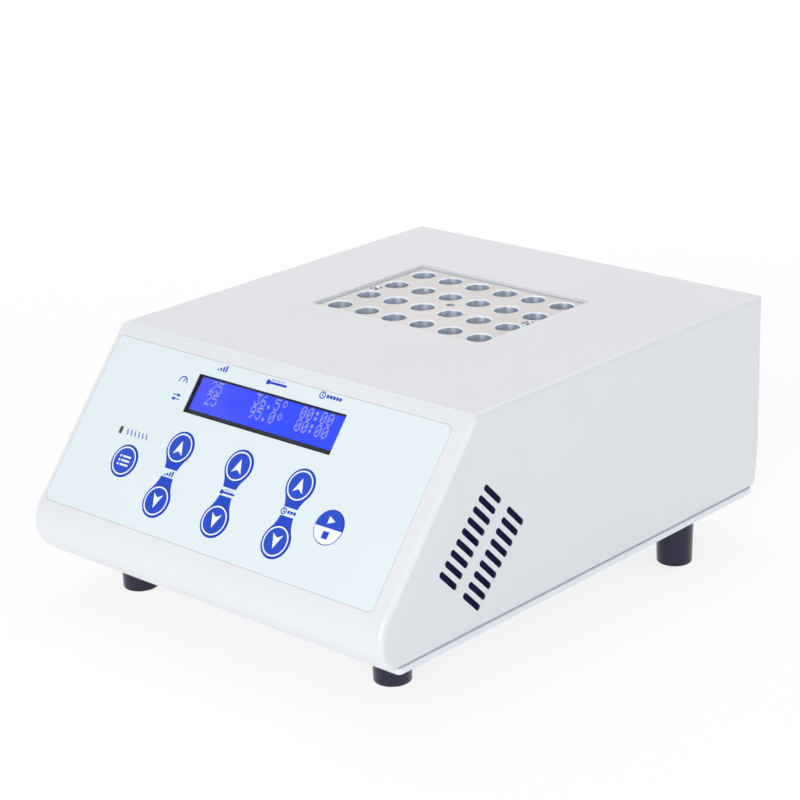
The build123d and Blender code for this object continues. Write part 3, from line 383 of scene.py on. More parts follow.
# Bright metal: streaks along one direction, small stains and an uneven polish.
streak_stretch = (1.0, 0.05, 1.0)
streak_span = (0.5, 0.7)
streak_share = 0.3
streak_middle = 0.4
stain_grains = 90.0
stain_span = (0.45, 0.75)
stain_share = 0.6
stain_dulls = 0.15
drawn_metal, start, end = effect(
    "drawn_metal",
    {
        "Colour": "colour", "Dull": "colour", "Streaks": "value", "Rough": "value",
        "Spread": "value",
    },
    {"Colour": "colour", "Roughness": "value", "Height": "value"},
)
streaks = noise(drawn_metal, start["Streaks"], detail=3.0, stretch=streak_stretch)
stains = noise(drawn_metal, stain_grains, detail=5.0, roughness=0.7)
share = maths(
    drawn_metal, "ADD",
    ramp(drawn_metal, stains, *stain_span, 0.0, stain_share),
    ramp(drawn_metal, streaks, *streak_span, 0.0, streak_share),
)
tinted = colour_mix(drawn_metal, share, start["Colour"], start["Dull"])
drawn_metal.links.new(tinted, end["Colour"])
lean = maths(drawn_metal, "SUBTRACT", streaks, streak_middle)
uneven = maths(drawn_metal, "MULTIPLY", lean, start["Spread"])
stained = maths(drawn_metal, "ADD", maths(drawn_metal, "MULTIPLY", share, stain_dulls), uneven)
rough = maths(drawn_metal, "ADD", start["Rough"], stained)
drawn_metal.links.new(rough, end["Roughness"])
drawn_metal.links.new(streaks, end["Height"])

# Painted highlight: metal edges are painted this much brighter than the metal's own colour.
edge_highlight_gain = 1.25


def metalled(
    name, colour, dull, rough, streaks=1200.0, spread=0.3, worn=None, wear=0.4, edge=0.0004,
    **shader,
):
    """Bare or plated metal with drawn streaks, stains and a painted highlight on its edges, unless
    a worn edge colour is given.

    The streaks are counted per metre, and the width of the bright edge is in metres.
    """
    made, tree, sockets, height = finish(name, colour, rough, metal=1.0, **shader)
    metal = use(
        tree, drawn_metal, Colour=colour, Dull=dull, Streaks=streaks, Rough=rough, Spread=spread
    )
    # Painted highlight on the edges, unless a worn colour is given.
    bright = worn or tuple(min(1.0, edge_highlight_gain * part) for part in colour)
    edged = use(
        tree, edge_wear_and_highlight, Colour=metal["Colour"], Worn=bright, Width=edge, Amount=wear
    )
    tree.links.new(edged["Colour"], sockets["Base Color"])
    tree.links.new(metal["Roughness"], sockets["Roughness"])
    tree.links.new(metal["Height"], height)
    return made


zinc = metalled("zinc", zinc_bright, zinc_dull, rough=0.28)
dress(zinc, "foot_screws", "foot_nuts")


# Power board. A green glass cloth board on four brass standoffs, with an iron cored
# transformer, a finned heat sink, two capacitors, a terminal block and a ribbon cable.
board_mask = (0.010, 0.105, 0.045)
board_track = (0.020, 0.190, 0.075)
board_pad = (0.62, 0.60, 0.52)
track_pitch = 2.54
track_width = 0.12
pad_edge = (0.30, 0.24)
pad_grains = 120.0
pad_span = (0.52, 0.56)
brass_bright = (0.62, 0.50, 0.25)
brass_dull = (0.40, 0.30, 0.14)
iron_grey = (0.16, 0.155, 0.15)
iron_rust = (0.10, 0.08, 0.07)
tape_amber = (0.62, 0.40, 0.05)
tape_brown = (0.50, 0.29, 0.03)
heatsink_dye = (0.035, 0.035, 0.04)
heatsink_faded = (0.02, 0.02, 0.02)
heatsink_bare = (0.5, 0.5, 0.5)
plastic_black = (0.016, 0.016, 0.018)
plastic_grey = (0.024, 0.024, 0.026)
plastic_rubbed = (0.07, 0.07, 0.075)
ribbon_grey = (0.36, 0.37, 0.40)
ribbon_valley = (0.26, 0.27, 0.30)
ribbon_crest = (0.44, 0.45, 0.48)
ribbon_pitch = 1.27


def printed_board(name):
    """Solder mask over copper tracks, with patches of tinned pads."""
    made, tree, sockets, height = finish(
        name, board_mask, rough=0.3, coat=0.3, bump=0.3, depth=0.00003
    )
    place = add(tree, "ShaderNodeTexCoord").outputs["Object"]
    steps = add(
        tree, "ShaderNodeVectorMath", {0: place, "Scale": 1 / (track_pitch * mm)},
        operation="SCALE",
    ).outputs[0]
    dots = add(
        tree, "ShaderNodeTexVoronoi", {"Vector": steps, "Scale": 1.0, "Randomness": 0.0}
    )
    pads = ramp(tree, dots.outputs["Distance"], *pad_edge)
    chosen = ramp(tree, noise(tree, pad_grains, detail=1.0), *pad_span)
    pads = maths(tree, "MULTIPLY", pads, chosen)
    lines = add(
        tree, "ShaderNodeTexBrick",
        {
            "Vector": steps, "Scale": 1.0, "Mortar Size": track_width, "Brick Width": 2.0,
            "Row Height": 1.0,
        },
    ).outputs["Fac"]
    tracks = colour_mix(tree, lines, board_mask, board_track)
    tree.links.new(colour_mix(tree, pads, tracks, board_pad), sockets["Base Color"])
    tree.links.new(ramp(tree, pads, 0.0, 1.0), sockets["Metallic"])
    tree.links.new(maths(tree, "ADD", lines, pads), height)
    return made


board_green = printed_board("board_green")
brass = metalled("brass", brass_bright, brass_dull, rough=0.3)
core_iron = metalled(
    "core_iron", iron_grey, iron_rust, rough=0.5, streaks=2500.0, spread=0.5, bump=0.5
)
coil_tape = skinned(
    "coil_tape", tape_amber, tape_brown, rough=0.25, grain=300.0, mottle=0.8, coat=0.5, bump=0.3
)
heatsink_black = metalled(
    "heatsink_black", heatsink_dye, heatsink_faded, rough=0.45, worn=heatsink_bare
)
moulded_black = skinned(
    "moulded_black", plastic_black, plastic_grey, rough=0.36, grain=2600.0, mottle=0.8, spread=0.2,
    worn=plastic_rubbed, wear=0.6, bump=0.35, edge=0.0004, shine=0.3,
)
dress(board_green, "power_board")
dress(brass, "power_board_standoffs")
dress(zinc, "power_board_screws")
dress(core_iron, "transformer_core")
dress(coil_tape, "transformer_coil")
dress(heatsink_black, "heatsink")
dress(moulded_black, "board_parts", "cable_headers")

ribbon_skin, tree, sockets, height = finish(
    "ribbon_skin", ribbon_grey, rough=0.42, bump=0.8, depth=0.0002
)
place = add(tree, "ShaderNodeTexCoord").outputs["Object"]
sideways = add(tree, "ShaderNodeSeparateXYZ", {0: place}).outputs["X"]
waves = maths(tree, "SINE", maths(tree, "MULTIPLY", sideways, 2 * pi / (ribbon_pitch * mm)))
wires = colour_mix(tree, ramp(tree, waves, -1.0, 1.0), ribbon_valley, ribbon_crest)
tree.links.new(wires, sockets["Base Color"])
tree.links.new(waves, height)
dress(ribbon_skin, "ribbon_cable")


# Heater stack. Milled aluminium plate, orange silicone heater mat and zinc plated clamp
# plate, held by long screws in a tray of rigid foam. A sheet steel carrier on four brass
# posts bears the tray, and a cut-off and a probe watch the heat.
plate_bright = (0.72, 0.72, 0.73)
plate_dull = (0.58, 0.58, 0.60)
mat_orange = (0.72, 0.17, 0.03)
mat_brown = (0.62, 0.13, 0.02)
sheet_bright = (0.56, 0.57, 0.59)
sheet_dull = (0.42, 0.43, 0.46)
foam_grey = (0.30, 0.28, 0.25)
foam_dark = (0.22, 0.21, 0.19)

milled = metalled("milled_plate", plate_bright, plate_dull, rough=0.32, streaks=1800.0)
silicone = skinned("silicone", mat_orange, mat_brown, rough=0.5, grain=1600.0, bump=0.3)
sheet_zinc = metalled("sheet_zinc", sheet_bright, sheet_dull, rough=0.35, streaks=500.0)
foam = skinned(
    "foam", foam_grey, foam_dark, rough=0.85, grain=700.0, mottle=1.0, bump=0.8, depth=0.0004
)
dress(milled, "heater_plate")
dress(silicone, "heater_mat")
dress(sheet_zinc, "heater_clamp", "carrier_plate", "temperature_sensor")
dress(foam, "insulation_tray")
dress(brass, "support_posts")
dress(zinc, "post_screws", "heater_screws")
dress(moulded_black, "thermal_cutoff")


# Mains inlet and power switch. Black moulded parts let into the rear wall: a three pin
# inlet with a fuse drawer above its socket, and a rocker switch with two printed marks.
nickel_bright = (0.70, 0.66, 0.55)
nickel_dull = (0.52, 0.48, 0.38)
gloss_black = (0.018, 0.018, 0.020)
gloss_grey = (0.026, 0.026, 0.028)
gloss_rubbed = (0.08, 0.08, 0.085)
fuse_clear = (0.90, 0.94, 0.94)
fuse_ripple = 400.0
mark_white = (0.80, 0.80, 0.78)
mark_shade = (0.72, 0.72, 0.70)
ink_thickness = 0.03
rocker_tilt = radians(12.0)
rocker_valley = 2.2
rocker_end = (8.6, 4.03)
rocker_mark_place = 5.4
rocker_mark_ring = (1.55, 1.10)
rocker_mark_bar = (0.5, 3.2)

dress(moulded_black, "power_inlet", "fuse_drawer", "power_switch")
dress(metalled("pin_nickel", nickel_bright, nickel_dull, rough=0.22), "inlet_pins")
dress(zinc, "inlet_screws")

rocker_black = skinned(
    "rocker_black", gloss_black, gloss_grey, rough=0.22, grain=1800.0, spread=0.2, coat=0.3,
    worn=gloss_rubbed, wear=0.6, bump=0.15, edge=0.0004,
)
dress(rocker_black, "switch_rocker")

fuse_glass, tree, sockets, height = finish("fuse_glass", fuse_clear, rough=0.08)
sockets["Transmission Weight"].default_value = 1.0
tree.links.new(noise(tree, fuse_ripple), height)
dress(fuse_glass, "fuse")


def arc(x, down, radius, begin=0.0, stop=360.0, steps=48):
    """Points along an arc, in degrees turned from the right, up over the top."""
    turns = [radians(begin + (stop - begin) * step / steps) for step in range(steps + 1)]
    return [(x + radius * cos(turn), down - radius * sin(turn)) for turn in turns]


def disc(x, down, radius):
    """Full circle as one closed outline."""
    return arc(x, down, radius)[:-1]


def bar(x, down, width, height):
    """Upright rectangle around a centre."""
    ways = ((-1, -1), (1, -1), (1, 1), (-1, 1))
    return [(x + i * width / 2, down + j * height / 2) for i, j in ways]


def inked(name, outlines, ink, place, body):
    """Thin layer of ink from closed outlines in mm, laid on a flat place of a body."""
    curve = bpy.data.curves.new(name, "CURVE")
    curve.dimensions = "2D"
    curve.fill_mode = "BOTH"
    curve.extrude = ink_thickness * mm / 2
    for outline in outlines:
        line = curve.splines.new("POLY")
        line.points.add(len(outline) - 1)
        line.use_cyclic_u = True
        for point, (x, down) in zip(line.points, outline):
            point.co = (x * mm, -down * mm, 0.0, 1.0)
    drawn = bpy.data.objects.new(name, curve)
    mesh = bpy.data.meshes.new_from_object(drawn)
    bpy.data.objects.remove(drawn)
    mesh.name = name
    mesh.transform(place)
    mesh.materials.clear()
    mesh.materials.append(ink)
    piece = bpy.data.objects.new(name, mesh)
    scene.collection.objects.link(piece)
    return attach(piece, body)


white_ink = skinned("white_ink", mark_white, mark_shade, rough=0.45, grain=3000.0, bump=0.05)
pivot = next(j for j in frame["joints"] if j["name"] == "power_rocker")["pos_m"]
rear_view = Matrix(((-1, 0, 0), (0, 0, 1), (0, 1, 0))).to_4x4()
face_climb = rocker_end[1] - rocker_valley
face_slope = atan2(face_climb, rocker_end[0])
mark_out = rocker_valley + rocker_mark_place * face_climb / rocker_end[0] + ink_thickness
rocker_marks = {
    "switch_mark_off": (-1, [disc(0.0, 0.0, radius) for radius in rocker_mark_ring]),
    "switch_mark_on": (1, [bar(0.0, 0.0, *rocker_mark_bar)]),
}
for name, (side, outlines) in rocker_marks.items():
    place = (
        Matrix.Translation(pivot)
        @ rear_view
        @ Matrix.Rotation(rocker_tilt, 4, "X")
        @ Matrix.Translation((0.0, side * rocker_mark_place * mm, mark_out * mm))
        @ Matrix.Rotation(side * face_slope, 4, "X")
    )
    inked(name, outlines, white_ink, place, "switch_rocker")


# Control board. Screwed to four pillars behind the panel, it carries a snap switch under
# each key, the heating lamp and, on four spacers, the two line character display.
lamp_dark = (0.026, 0.012, 0.016)
lamp_red = (0.070, 0.014, 0.014)

lamp_glass, tree, sockets, height = finish("lamp_glass", lamp_dark, rough=0.2, coat=0.2)
deep = use(
    tree, fine_skin, Colour=lamp_dark, Tint=lamp_red, Mottle=0.8, Grain=900.0, Rough=0.2,
    Spread=0.1,
)
tree.links.new(deep["Colour"], sockets["Base Color"])
tree.links.new(deep["Height"], height)
dress(lamp_glass, "heating_lamp")
dress(board_green, "control_board")
dress(zinc, "control_board_screws")
dress(moulded_black, "snap_switches", "control_chips")


# Character display. A blue liquid crystal cell, lit from behind, in a black metal frame
# behind the clear pane. Its characters are plain numbers made of small grey dots.
backlight_blue = (0.010, 0.050, 0.98)
backlight_violet = (0.068, 0.082, 1.0)
backlight_deep = (0.008, 0.024, 0.68)
cell_unlit = (0.004, 0.006, 0.05)
cell_unlit_share = 0.75
cell_light = 0.78
cell_grains = 2000.0
violet_reach = 0.55
violet_grains = 40.0
violet_span = (0.25, 0.7)
violet_least = 0.55
smudge_place = (-21.0, -20.0)
smudge_radius = 12.0
smudge_share = 0.35
dot_grey = (0.30, 0.31, 0.35)
dot_violet = (0.30, 0.31, 0.44)
dot_light = 0.18
nylon_white = (0.74, 0.73, 0.69)
nylon_yellowed = (0.70, 0.68, 0.62)
guide_clear = (0.60, 0.68, 0.85)
guide_shade = (0.55, 0.62, 0.8)
bezel_black = (0.010, 0.010, 0.016)
bezel_shade = (0.016, 0.016, 0.022)
bezel_rubbed = (0.03, 0.03, 0.04)
panel_slope = radians(51.0)
film_thickness = 0.5
film_top_down = 6.15
window_centre_x = -1.4
window_width = 88.0
glass_depth = 2.5
character_pitch = 3.88
first_character_x = -36.4
row_downs = (17.15, 22.95)
dot_pitch = (0.60, 0.78)
dot_size = (0.52, 0.68)
middle_dot = (2, 3)
rows_of_text = ("25     36.5°  00:00", "25     95.0°  00:00")
dot_patterns = {
    "0": "01110 10001 10011 10101 11001 10001 01110",
    "2": "01110 10001 00001 00010 00100 01000 11111",
    "3": "11111 00010 00100 00010 00001 10001 01110",
    "5": "11111 10000 11110 00001 00001 10001 01110",
    "6": "00110 01000 10000 11110 10001 10001 01110",
    "9": "01110 10001 10001 01111 00001 00010 01100",
    ":": "00000 01100 01100 00000 01100 01100 00000",
    ".": "00000 00000 00000 00000 00000 01100 01100",
    "°": "00110 01001 01001 00110 00000 00000 00000",
}

# The slanted panel's own directions, starting at the fold where it leaves the flat top,
# which is found from the highest edge of the film.
film_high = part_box("front_film")[1]
across = Vector((1.0, 0.0, 0.0))
upslope = Vector((0.0, cos(panel_slope), sin(panel_slope)))
outward = Vector((0.0, -sin(panel_slope), cos(panel_slope)))
film_edge = Vector((0.0, film_high.y - film_thickness * mm * sin(panel_slope), film_high.z))
fold = film_edge + upslope * film_top_down * mm
panel = Matrix.Translation(fold) @ Matrix((across, upslope, outward)).transposed().to_4x4()


def panel_layer(out):
    """Flat place on the slanted panel, a height in mm out from its face."""
    return panel @ Matrix.Translation((0.0, 0.0, out * mm))


cell_glow, tree, sockets, height = finish("cell_glow", backlight_deep, rough=0.12, shine=0.15)
place = add(tree, "ShaderNodeTexCoord").outputs["Object"]
sideways = add(tree, "ShaderNodeSeparateXYZ", {0: place}).outputs["X"]
window_left = (window_centre_x - window_width / 2) * mm
violet_end = window_left + violet_reach * window_width * mm
violet_patches = ramp(tree, noise(tree, violet_grains), *violet_span, violet_least, 1.0)
haze = maths(
    tree, "MULTIPLY", ramp(tree, sideways, window_left, violet_end, 1.0, 0.0), violet_patches
)
smudge_middle = panel_layer(-glass_depth) @ (Vector((*smudge_place, 0.0)) * mm)
smudge_away = add(
    tree, "ShaderNodeVectorMath", {0: place, 1: tuple(smudge_middle)}, operation="DISTANCE"
).outputs["Value"]
smudge = ramp(tree, smudge_away, 0.0, smudge_radius * mm, smudge_share, 0.0)
lit = colour_mix(tree, haze, backlight_blue, backlight_violet)
lit = colour_mix(tree, smudge, lit, backlight_deep)
tree.links.new(lit, sockets["Emission Color"])
tree.links.new(colour_mix(tree, cell_unlit_share, lit, cell_unlit), sockets["Base Color"])
sockets["Emission Strength"].default_value = cell_light
tree.links.new(noise(tree, cell_grains), height)
dress(cell_glow, "display_glass")

light_guide = skinned("light_guide", guide_clear, guide_shade, rough=0.2, grain=500.0, coat=0.4)
bezel_paint = skinned(
    "bezel_paint", bezel_black, bezel_shade, rough=0.42, grain=2400.0, worn=bezel_rubbed, wear=0.2,
    shine=0.1,
)
nylon = skinned("nylon", nylon_white, nylon_yellowed, rough=0.45, grain=1200.0, dust=0.1)
dress(light_guide, "display_backlight")
dress(bezel_paint, "display_bezel")
dress(board_green, "display_board")
dress(nylon, "display_spacers")

dot_ink, tree, sockets, height = finish("dot_ink", dot_grey, rough=0.3)
grey = use(
    tree, fine_skin, Colour=dot_grey, Tint=dot_violet, Mottle=1.0, Grain=700.0, Rough=0.3,
    Spread=0.1,
)
tree.links.new(grey["Colour"], sockets["Base Color"])
tree.links.new(grey["Colour"], sockets["Emission Color"])
sockets["Emission Strength"].default_value = dot_light
tree.links.new(grey["Height"], height)


def dots_of(letter, x, down):
    """Lit dots of one character around its middle dot."""
    return [
        bar(
            x + (column - middle_dot[0]) * dot_pitch[0],
            down + (line - middle_dot[1]) * dot_pitch[1],
            *dot_size,
        )
        for line, cells in enumerate(dot_patterns[letter].split())
        for column, cell in enumerate(cells)
        if cell == "1"
    ]


on_glass = panel_layer(ink_thickness - glass_depth)
for row, (text, row_down) in enumerate(zip(rows_of_text, row_downs)):
    dots = []
    for index, letter in enumerate(text):
        if letter != " ":
            dots += dots_of(letter, first_character_x + index * character_pitch, row_down)
    inked(f"display_numbers_{row}", dots, dot_ink, on_glass, "case")


# Housing cover. One shell of white moulded plastic with a fine satin skin, set on the base plate
# and screwed from below. Its inside is painted dark navy as painted shade, and this reaches
# through the vent slots almost to the outer face of the side walls.
cover_white = (0.755, 0.770, 0.805)
cover_tint = (0.735, 0.752, 0.792)
# Painted shade: the inside of the shell, the slot walls and the sides of the panel's openings take
# this dark navy, a little rougher.
inside_shade_navy = (0.026, 0.036, 0.125)
inside_shade_dulls = 0.3
wall = 3.0
white_depth = 2.9
slot_shade_depth = 0.25
panel_hole_share = 3.0
panel_hole_zone = (85 * mm, 90 * mm)
lower_rim_share = 0.4

cover_low, cover_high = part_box("housing_cover")
cover_plastic, tree, sockets, height = finish(
    "cover_plastic", cover_white, rough=0.34, bump=0.10, coat=0.5, coat_rough=0.10, shine=0.4
)
skin = use(
    tree, fine_skin, Colour=cover_white, Tint=cover_tint, Mottle=0.6, Grain=1800.0, Rough=0.32,
    Spread=0.10,
)
dusty = use(tree, settled_dust, Colour=skin["Colour"], Dust=dust_grey, Amount=0.03)

# Depth below each outer face, which decides where the painted shade starts. Around the panel's
# openings it counts threefold, so the painted shade comes nearer to the film there, and above the
# lower rim it counts less, so the rim stays white.
place = add(tree, "ShaderNodeTexCoord").outputs["Object"]
parts = add(tree, "ShaderNodeSeparateXYZ", {0: place}).outputs
out_from_middle = maths(tree, "ABSOLUTE", parts["X"])
from_side = maths(tree, "SUBTRACT", cover_high.x, out_from_middle)
from_top = maths(tree, "SUBTRACT", cover_high.z, parts["Z"])
from_rear = maths(tree, "SUBTRACT", cover_high.y, parts["Y"])
from_front = maths(tree, "SUBTRACT", parts["Y"], cover_low.y)
slant = add(
    tree, "ShaderNodeVectorMath", {0: place, 1: tuple(outward)}, operation="DOT_PRODUCT"
).outputs["Value"]
hole_share = ramp(tree, out_from_middle, *panel_hole_zone, panel_hole_share, 1.0)
from_panel = maths(
    tree, "MULTIPLY", maths(tree, "SUBTRACT", fold.dot(outward), slant), hole_share
)
from_rim = maths(
    tree, "MULTIPLY", maths(tree, "SUBTRACT", parts["Z"], cover_low.z), lower_rim_share
)
nearest = from_top
for depth in (from_panel, from_rear, from_front, from_rim):
    nearest = maths(tree, "MINIMUM", nearest, depth)
behind_wall = ramp(tree, nearest, white_depth * mm, wall * mm)
in_slot = ramp(tree, from_side, slot_shade_depth * mm, 2 * slot_shade_depth * mm)
# Painted shade: dark navy where a face lies deep behind an outer face, also on the vent slots'
# walls.
painted_inside_shade = maths(tree, "MULTIPLY", behind_wall, in_slot)
dulled = maths(tree, "ADD", skin["Roughness"], maths(tree, "MULTIPLY", painted_inside_shade, inside_shade_dulls))
tree.links.new(colour_mix(tree, painted_inside_shade, dusty["Colour"], inside_shade_navy), sockets["Base Color"])
tree.links.new(dulled, sockets["Roughness"])
tree.links.new(skin["Height"], height)
dress(cover_plastic, "housing_cover")
dress(zinc, "cover_screws")


# Shade screens. A piece of dark blue woven cloth with a thicker glued rim, stuck to the inside of
# each side wall behind its vent slots, as painted shade that keeps the slots dark.
# Painted shade: the dark navy of the cloth seen through the vent slots.
shade_cloth_navy = (0.026, 0.040, 0.165)
shade_cloth_deep = (0.008, 0.012, 0.060)
thread_pitch = 0.5
screen_size = (36.0, 45.5)
screen_corner = 3.0
screen_rim = 1.4
rim_thickness = 0.5
cloth_thickness = 0.3
screen_turn = radians(45.0)
screen_behind_fold = 2.3
screen_rise = 37.3
screen_gap = 0.03


def rounded_patch(width, height, corner, steps=6):
    """Outline of a rectangle with rounded corners, in mm around its middle."""
    outline = []
    for i, j, begin in ((1, 1, 0), (-1, 1, 90), (-1, -1, 180), (1, -1, 270)):
        middle_x, middle_y = i * (width / 2 - corner), j * (height / 2 - corner)
        for step in range(steps + 1):
            turn = radians(begin + 90 * step / steps)
            outline.append((middle_x + corner * cos(turn), middle_y + corner * sin(turn)))
    return outline


shade_cloth, tree, sockets, height = finish(
    "shade_cloth", shade_cloth_navy, rough=0.8, bump=0.6, depth=0.0001, shine=0.2
)
place = add(tree, "ShaderNodeTexCoord").outputs["Object"]
turned_place = add(
    tree, "ShaderNodeMapping", {"Vector": place, "Rotation": (screen_turn, 0.0, 0.0)}
).outputs["Vector"]
threads = add(tree, "ShaderNodeSeparateXYZ", {0: turned_place}).outputs
warp, weft = (
    maths(tree, "SINE", maths(tree, "MULTIPLY", threads[way], 2 * pi / (thread_pitch * mm)))
    for way in ("Y", "Z")
)
woven = ramp(tree, maths(tree, "MULTIPLY", warp, weft), -1.0, 1.0)
tree.links.new(colour_mix(tree, woven, shade_cloth_deep, shade_cloth_navy), sockets["Base Color"])
tree.links.new(woven, height)

base_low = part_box("base_plate")[0]
rim_edge = rounded_patch(*screen_size, screen_corner)
cloth_edge = rounded_patch(
    *(length - 2 * screen_rim for length in screen_size), screen_corner - screen_rim / 2
)
screen_levels = (
    (rim_edge, 0.0), (rim_edge, rim_thickness), (cloth_edge, rim_thickness),
    (cloth_edge, cloth_thickness),
)
count = len(rim_edge)
corners = [
    (x * mm, y * mm, depth * mm) for outline, depth in screen_levels for x, y in outline
]
faces = [quad[:1] + quad[:0:-1] for quad in quads_between(len(screen_levels), count)]
faces += [tuple(range(count))[::-1], tuple(range(len(corners) - count, len(corners)))]
down_column = Vector((0.0, cos(screen_turn), -sin(screen_turn)))
for name, side in (("shade_screen_left", -1), ("shade_screen_right", 1)):
    cloth = bpy.data.meshes.new(name)
    cloth.from_pydata(corners, [], faces)
    inwards = Vector((-side, 0.0, 0.0))
    turn = Matrix((down_column, inwards.cross(down_column), inwards)).transposed().to_4x4()
    outer_face = (cover_high.x - (wall + screen_gap) * mm) * side
    middle = Vector(
        (outer_face, fold.y + screen_behind_fold * mm, base_low.z + screen_rise * mm)
    )
    cloth.transform(Matrix.Translation(middle) @ turn)
    cloth.materials.append(shade_cloth)
    screen = bpy.data.objects.new(name, cloth)
    scene.collection.objects.link(screen)
    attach(screen, "case")


# Panel film. Polyester sheet, printed in blue and glued into the panel's recess, with
# the clear display pane behind its window. Signs stand where keys need a name.
film_white = (0.745, 0.825, 0.860)
film_shade = (0.730, 0.812, 0.855)
pane_clear = (0.97, 0.98, 1.0)
pane_index = 1.2
pane_ripple = 150.0
ink_blue = (0.014, 0.058, 0.520)
ink_shade = (0.020, 0.072, 0.560)
print_out = 0.02
pair_x = (-37.0, -0.9, 35.2)
pair_up_down = (47.6, 72.7)
pair_radius = 7.7
hole_radius = 7.0
waist_half = 3.6
waist_radius = 13.56
label_gap = (57.6, 61.5)
label_down = 59.55
program_place = (-65.1, 60.4)
start_place = (58.4, 60.4)
start_hole = 7.42
sharpest_mitre = 0.4

film_sheet = skinned(
    "film_sheet", film_white, film_shade, rough=0.36, grain=2600.0, mottle=0.6, spread=0.08,
    bump=0.08,
)
dress(film_sheet, "front_film")

pane, tree, sockets, height = finish("pane", pane_clear, rough=0.03, bump=0.02, shine=0.2)
sockets["Transmission Weight"].default_value = 1.0
sockets["IOR"].default_value = pane_index
tree.links.new(noise(tree, pane_ripple), height)
dress(pane, "display_window")

blue_ink = skinned(
    "blue_ink", ink_blue, ink_shade, rough=0.40, grain=2600.0, mottle=0.8, spread=0.1, bump=0.08,
    shine=0.15,
)


def stroke(points, width):
    """Outline of a line of even width through points, with mitred corners."""
    sides = ([], [])
    for index, point in enumerate(points):
        here = Vector(point)
        into = here - Vector(points[max(index - 1, 0)])
        leave = Vector(points[min(index + 1, len(points) - 1)]) - here
        into = into.normalized() if into.length else leave.normalized()
        leave = leave.normalized() if leave.length else into
        along = (into + leave).normalized()
        reach = width / 2 / max(along.dot(into), sharpest_mitre)
        beside = Vector((-along.y, along.x)) * reach
        sides[0].append(tuple(here + beside))
        sides[1].append(tuple(here - beside))
    return sides[0] + sides[1][::-1]


def rising_bars(x, down, width, height, count=4, share=0.62):
    """Row of rising bars on one line, the sign for a program's segments."""
    pitch = width / (count - 1 + share)
    shapes = []
    for index in range(count):
        tall = height * (index + 1) / count
        middle = x - width / 2 + pitch * (index + share / 2)
        shapes.append(bar(middle, down + (height - tall) / 2, pitch * share, tall))
    return shapes


def thermometer(x, down, length, bulb):
    """Thermometer lying on its side with a row of marks above its stem."""
    stem = 0.45 * bulb
    mark_width, mark_height, mark_rise = 0.4, 0.8 * bulb, 1.15 * bulb
    mark_start, mark_pitch = 0.7, 1.3
    left, right = x - length / 2 + bulb, x + length / 2 - stem
    turn = degrees(atan2(stem, (bulb**2 - stem**2) ** 0.5))
    outline = arc(left, down, bulb, turn, 360.0 - turn, steps=28)
    outline += arc(right, down, stem, -90.0, 90.0, steps=12)
    first = left + bulb + mark_start
    marks = [
        bar(first + step * mark_pitch, down - mark_rise, mark_width, mark_height)
        for step in range(int((right - left - bulb) / mark_pitch))
    ]
    return [outline] + marks


def clock(x, down, radius, line=0.5):
    """Clock face with two hands."""
    long_hand = (x, down - 0.62 * radius)
    hub = (x, down + 0.1)
    short_hand = (x + 0.48 * radius, down + 0.25 * radius)
    hands = stroke([long_hand, hub, short_hand], 0.85 * line)
    return [disc(x, down, radius), disc(x, down, radius - line), hands]


def time_sign(x, down, width, height, gap=0.7):
    """Clock followed by a row of blocks that stand for the time that has run."""
    radius = height / 2
    side = 0.42 * height
    pitch = side + gap / 2
    left = x - width / 2 + height + gap + side / 2
    count = int((x + width / 2 - left) / pitch) + 1
    blocks = [bar(left + step * pitch, down, side, side) for step in range(count)]
    return clock(x - width / 2 + radius, down, radius) + blocks


def gauge(x, down, radius=2.3, line=0.55, drop=1.1):
    """Dial with a needle, for the measured values."""
    dial = arc(x, down + drop, radius, begin=-10.0, stop=190.0, steps=24)
    needle_root, needle_tip = (x, down + 1.2), (x + 1.1, down - 0.5)
    return [stroke(dial, line), stroke([needle_root, needle_tip], line)]


def sliders(x, down, half=2.5, knob_radius=0.75, knob_shift=1.0, line_shift=0.95, line=0.42):
    """Two slides with knobs, for the values that are set."""
    shapes = []
    for side in (-1, 1):
        knob = x - side * knob_shift
        line_down = down + side * line_shift
        shapes.append(disc(knob, line_down, knob_radius))
        for begin, stop in ((x - half, knob - knob_radius), (knob + knob_radius, x + half)):
            shapes.append(bar((begin + stop) / 2, line_down, stop - begin, line))
    return shapes


def heat_waves(x, down, width, height, count=6, swing=0.4, line=0.5, steps=12):
    """Row of rising waves, beside the heating lamp."""
    shapes = []
    for index in range(count):
        middle = x - width / 2 + (index + 0.5) * width / count
        climbs = [step / steps for step in range(steps + 1)]
        points = [
            (middle + swing * sin(2 * pi * climb), down + height * (0.5 - climb))
            for climb in climbs
        ]
        shapes.append(stroke(points, line))
    return shapes


film_signs = {  # each at its middle, in mm right of the panel's middle and down from the fold
    "sign_segment": rising_bars(-33.7, 8.5, width=5.6, height=2.9),
    "sign_temperature": thermometer(-0.9, 9.0, length=12.0, bulb=1.2),
    "sign_time": time_sign(30.5, 8.2, width=13.0, height=3.4),
    "sign_measured": gauge(-52.8, 17.9),
    "sign_set": sliders(-52.7, 26.4),
    "sign_heating": heat_waves(-64.8, 47.6, width=14.5, height=2.6),
    "label_segment": rising_bars(pair_x[0], label_down, width=5.4, height=2.6),
    "label_temperature": thermometer(pair_x[1], label_down + 0.45, length=8.6, bulb=1.05),
    "label_time": time_sign(pair_x[2], label_down, width=9.0, height=3.1),
    "program_surround": [disc(*program_place, pair_radius), disc(*program_place, hole_radius)],
    "start_surround": [disc(*start_place, pair_radius), disc(*start_place, start_hole)],
}
film_layer = panel_layer(print_out)
for name, outlines in film_signs.items():
    inked(name, outlines, blue_ink, film_layer, "case")

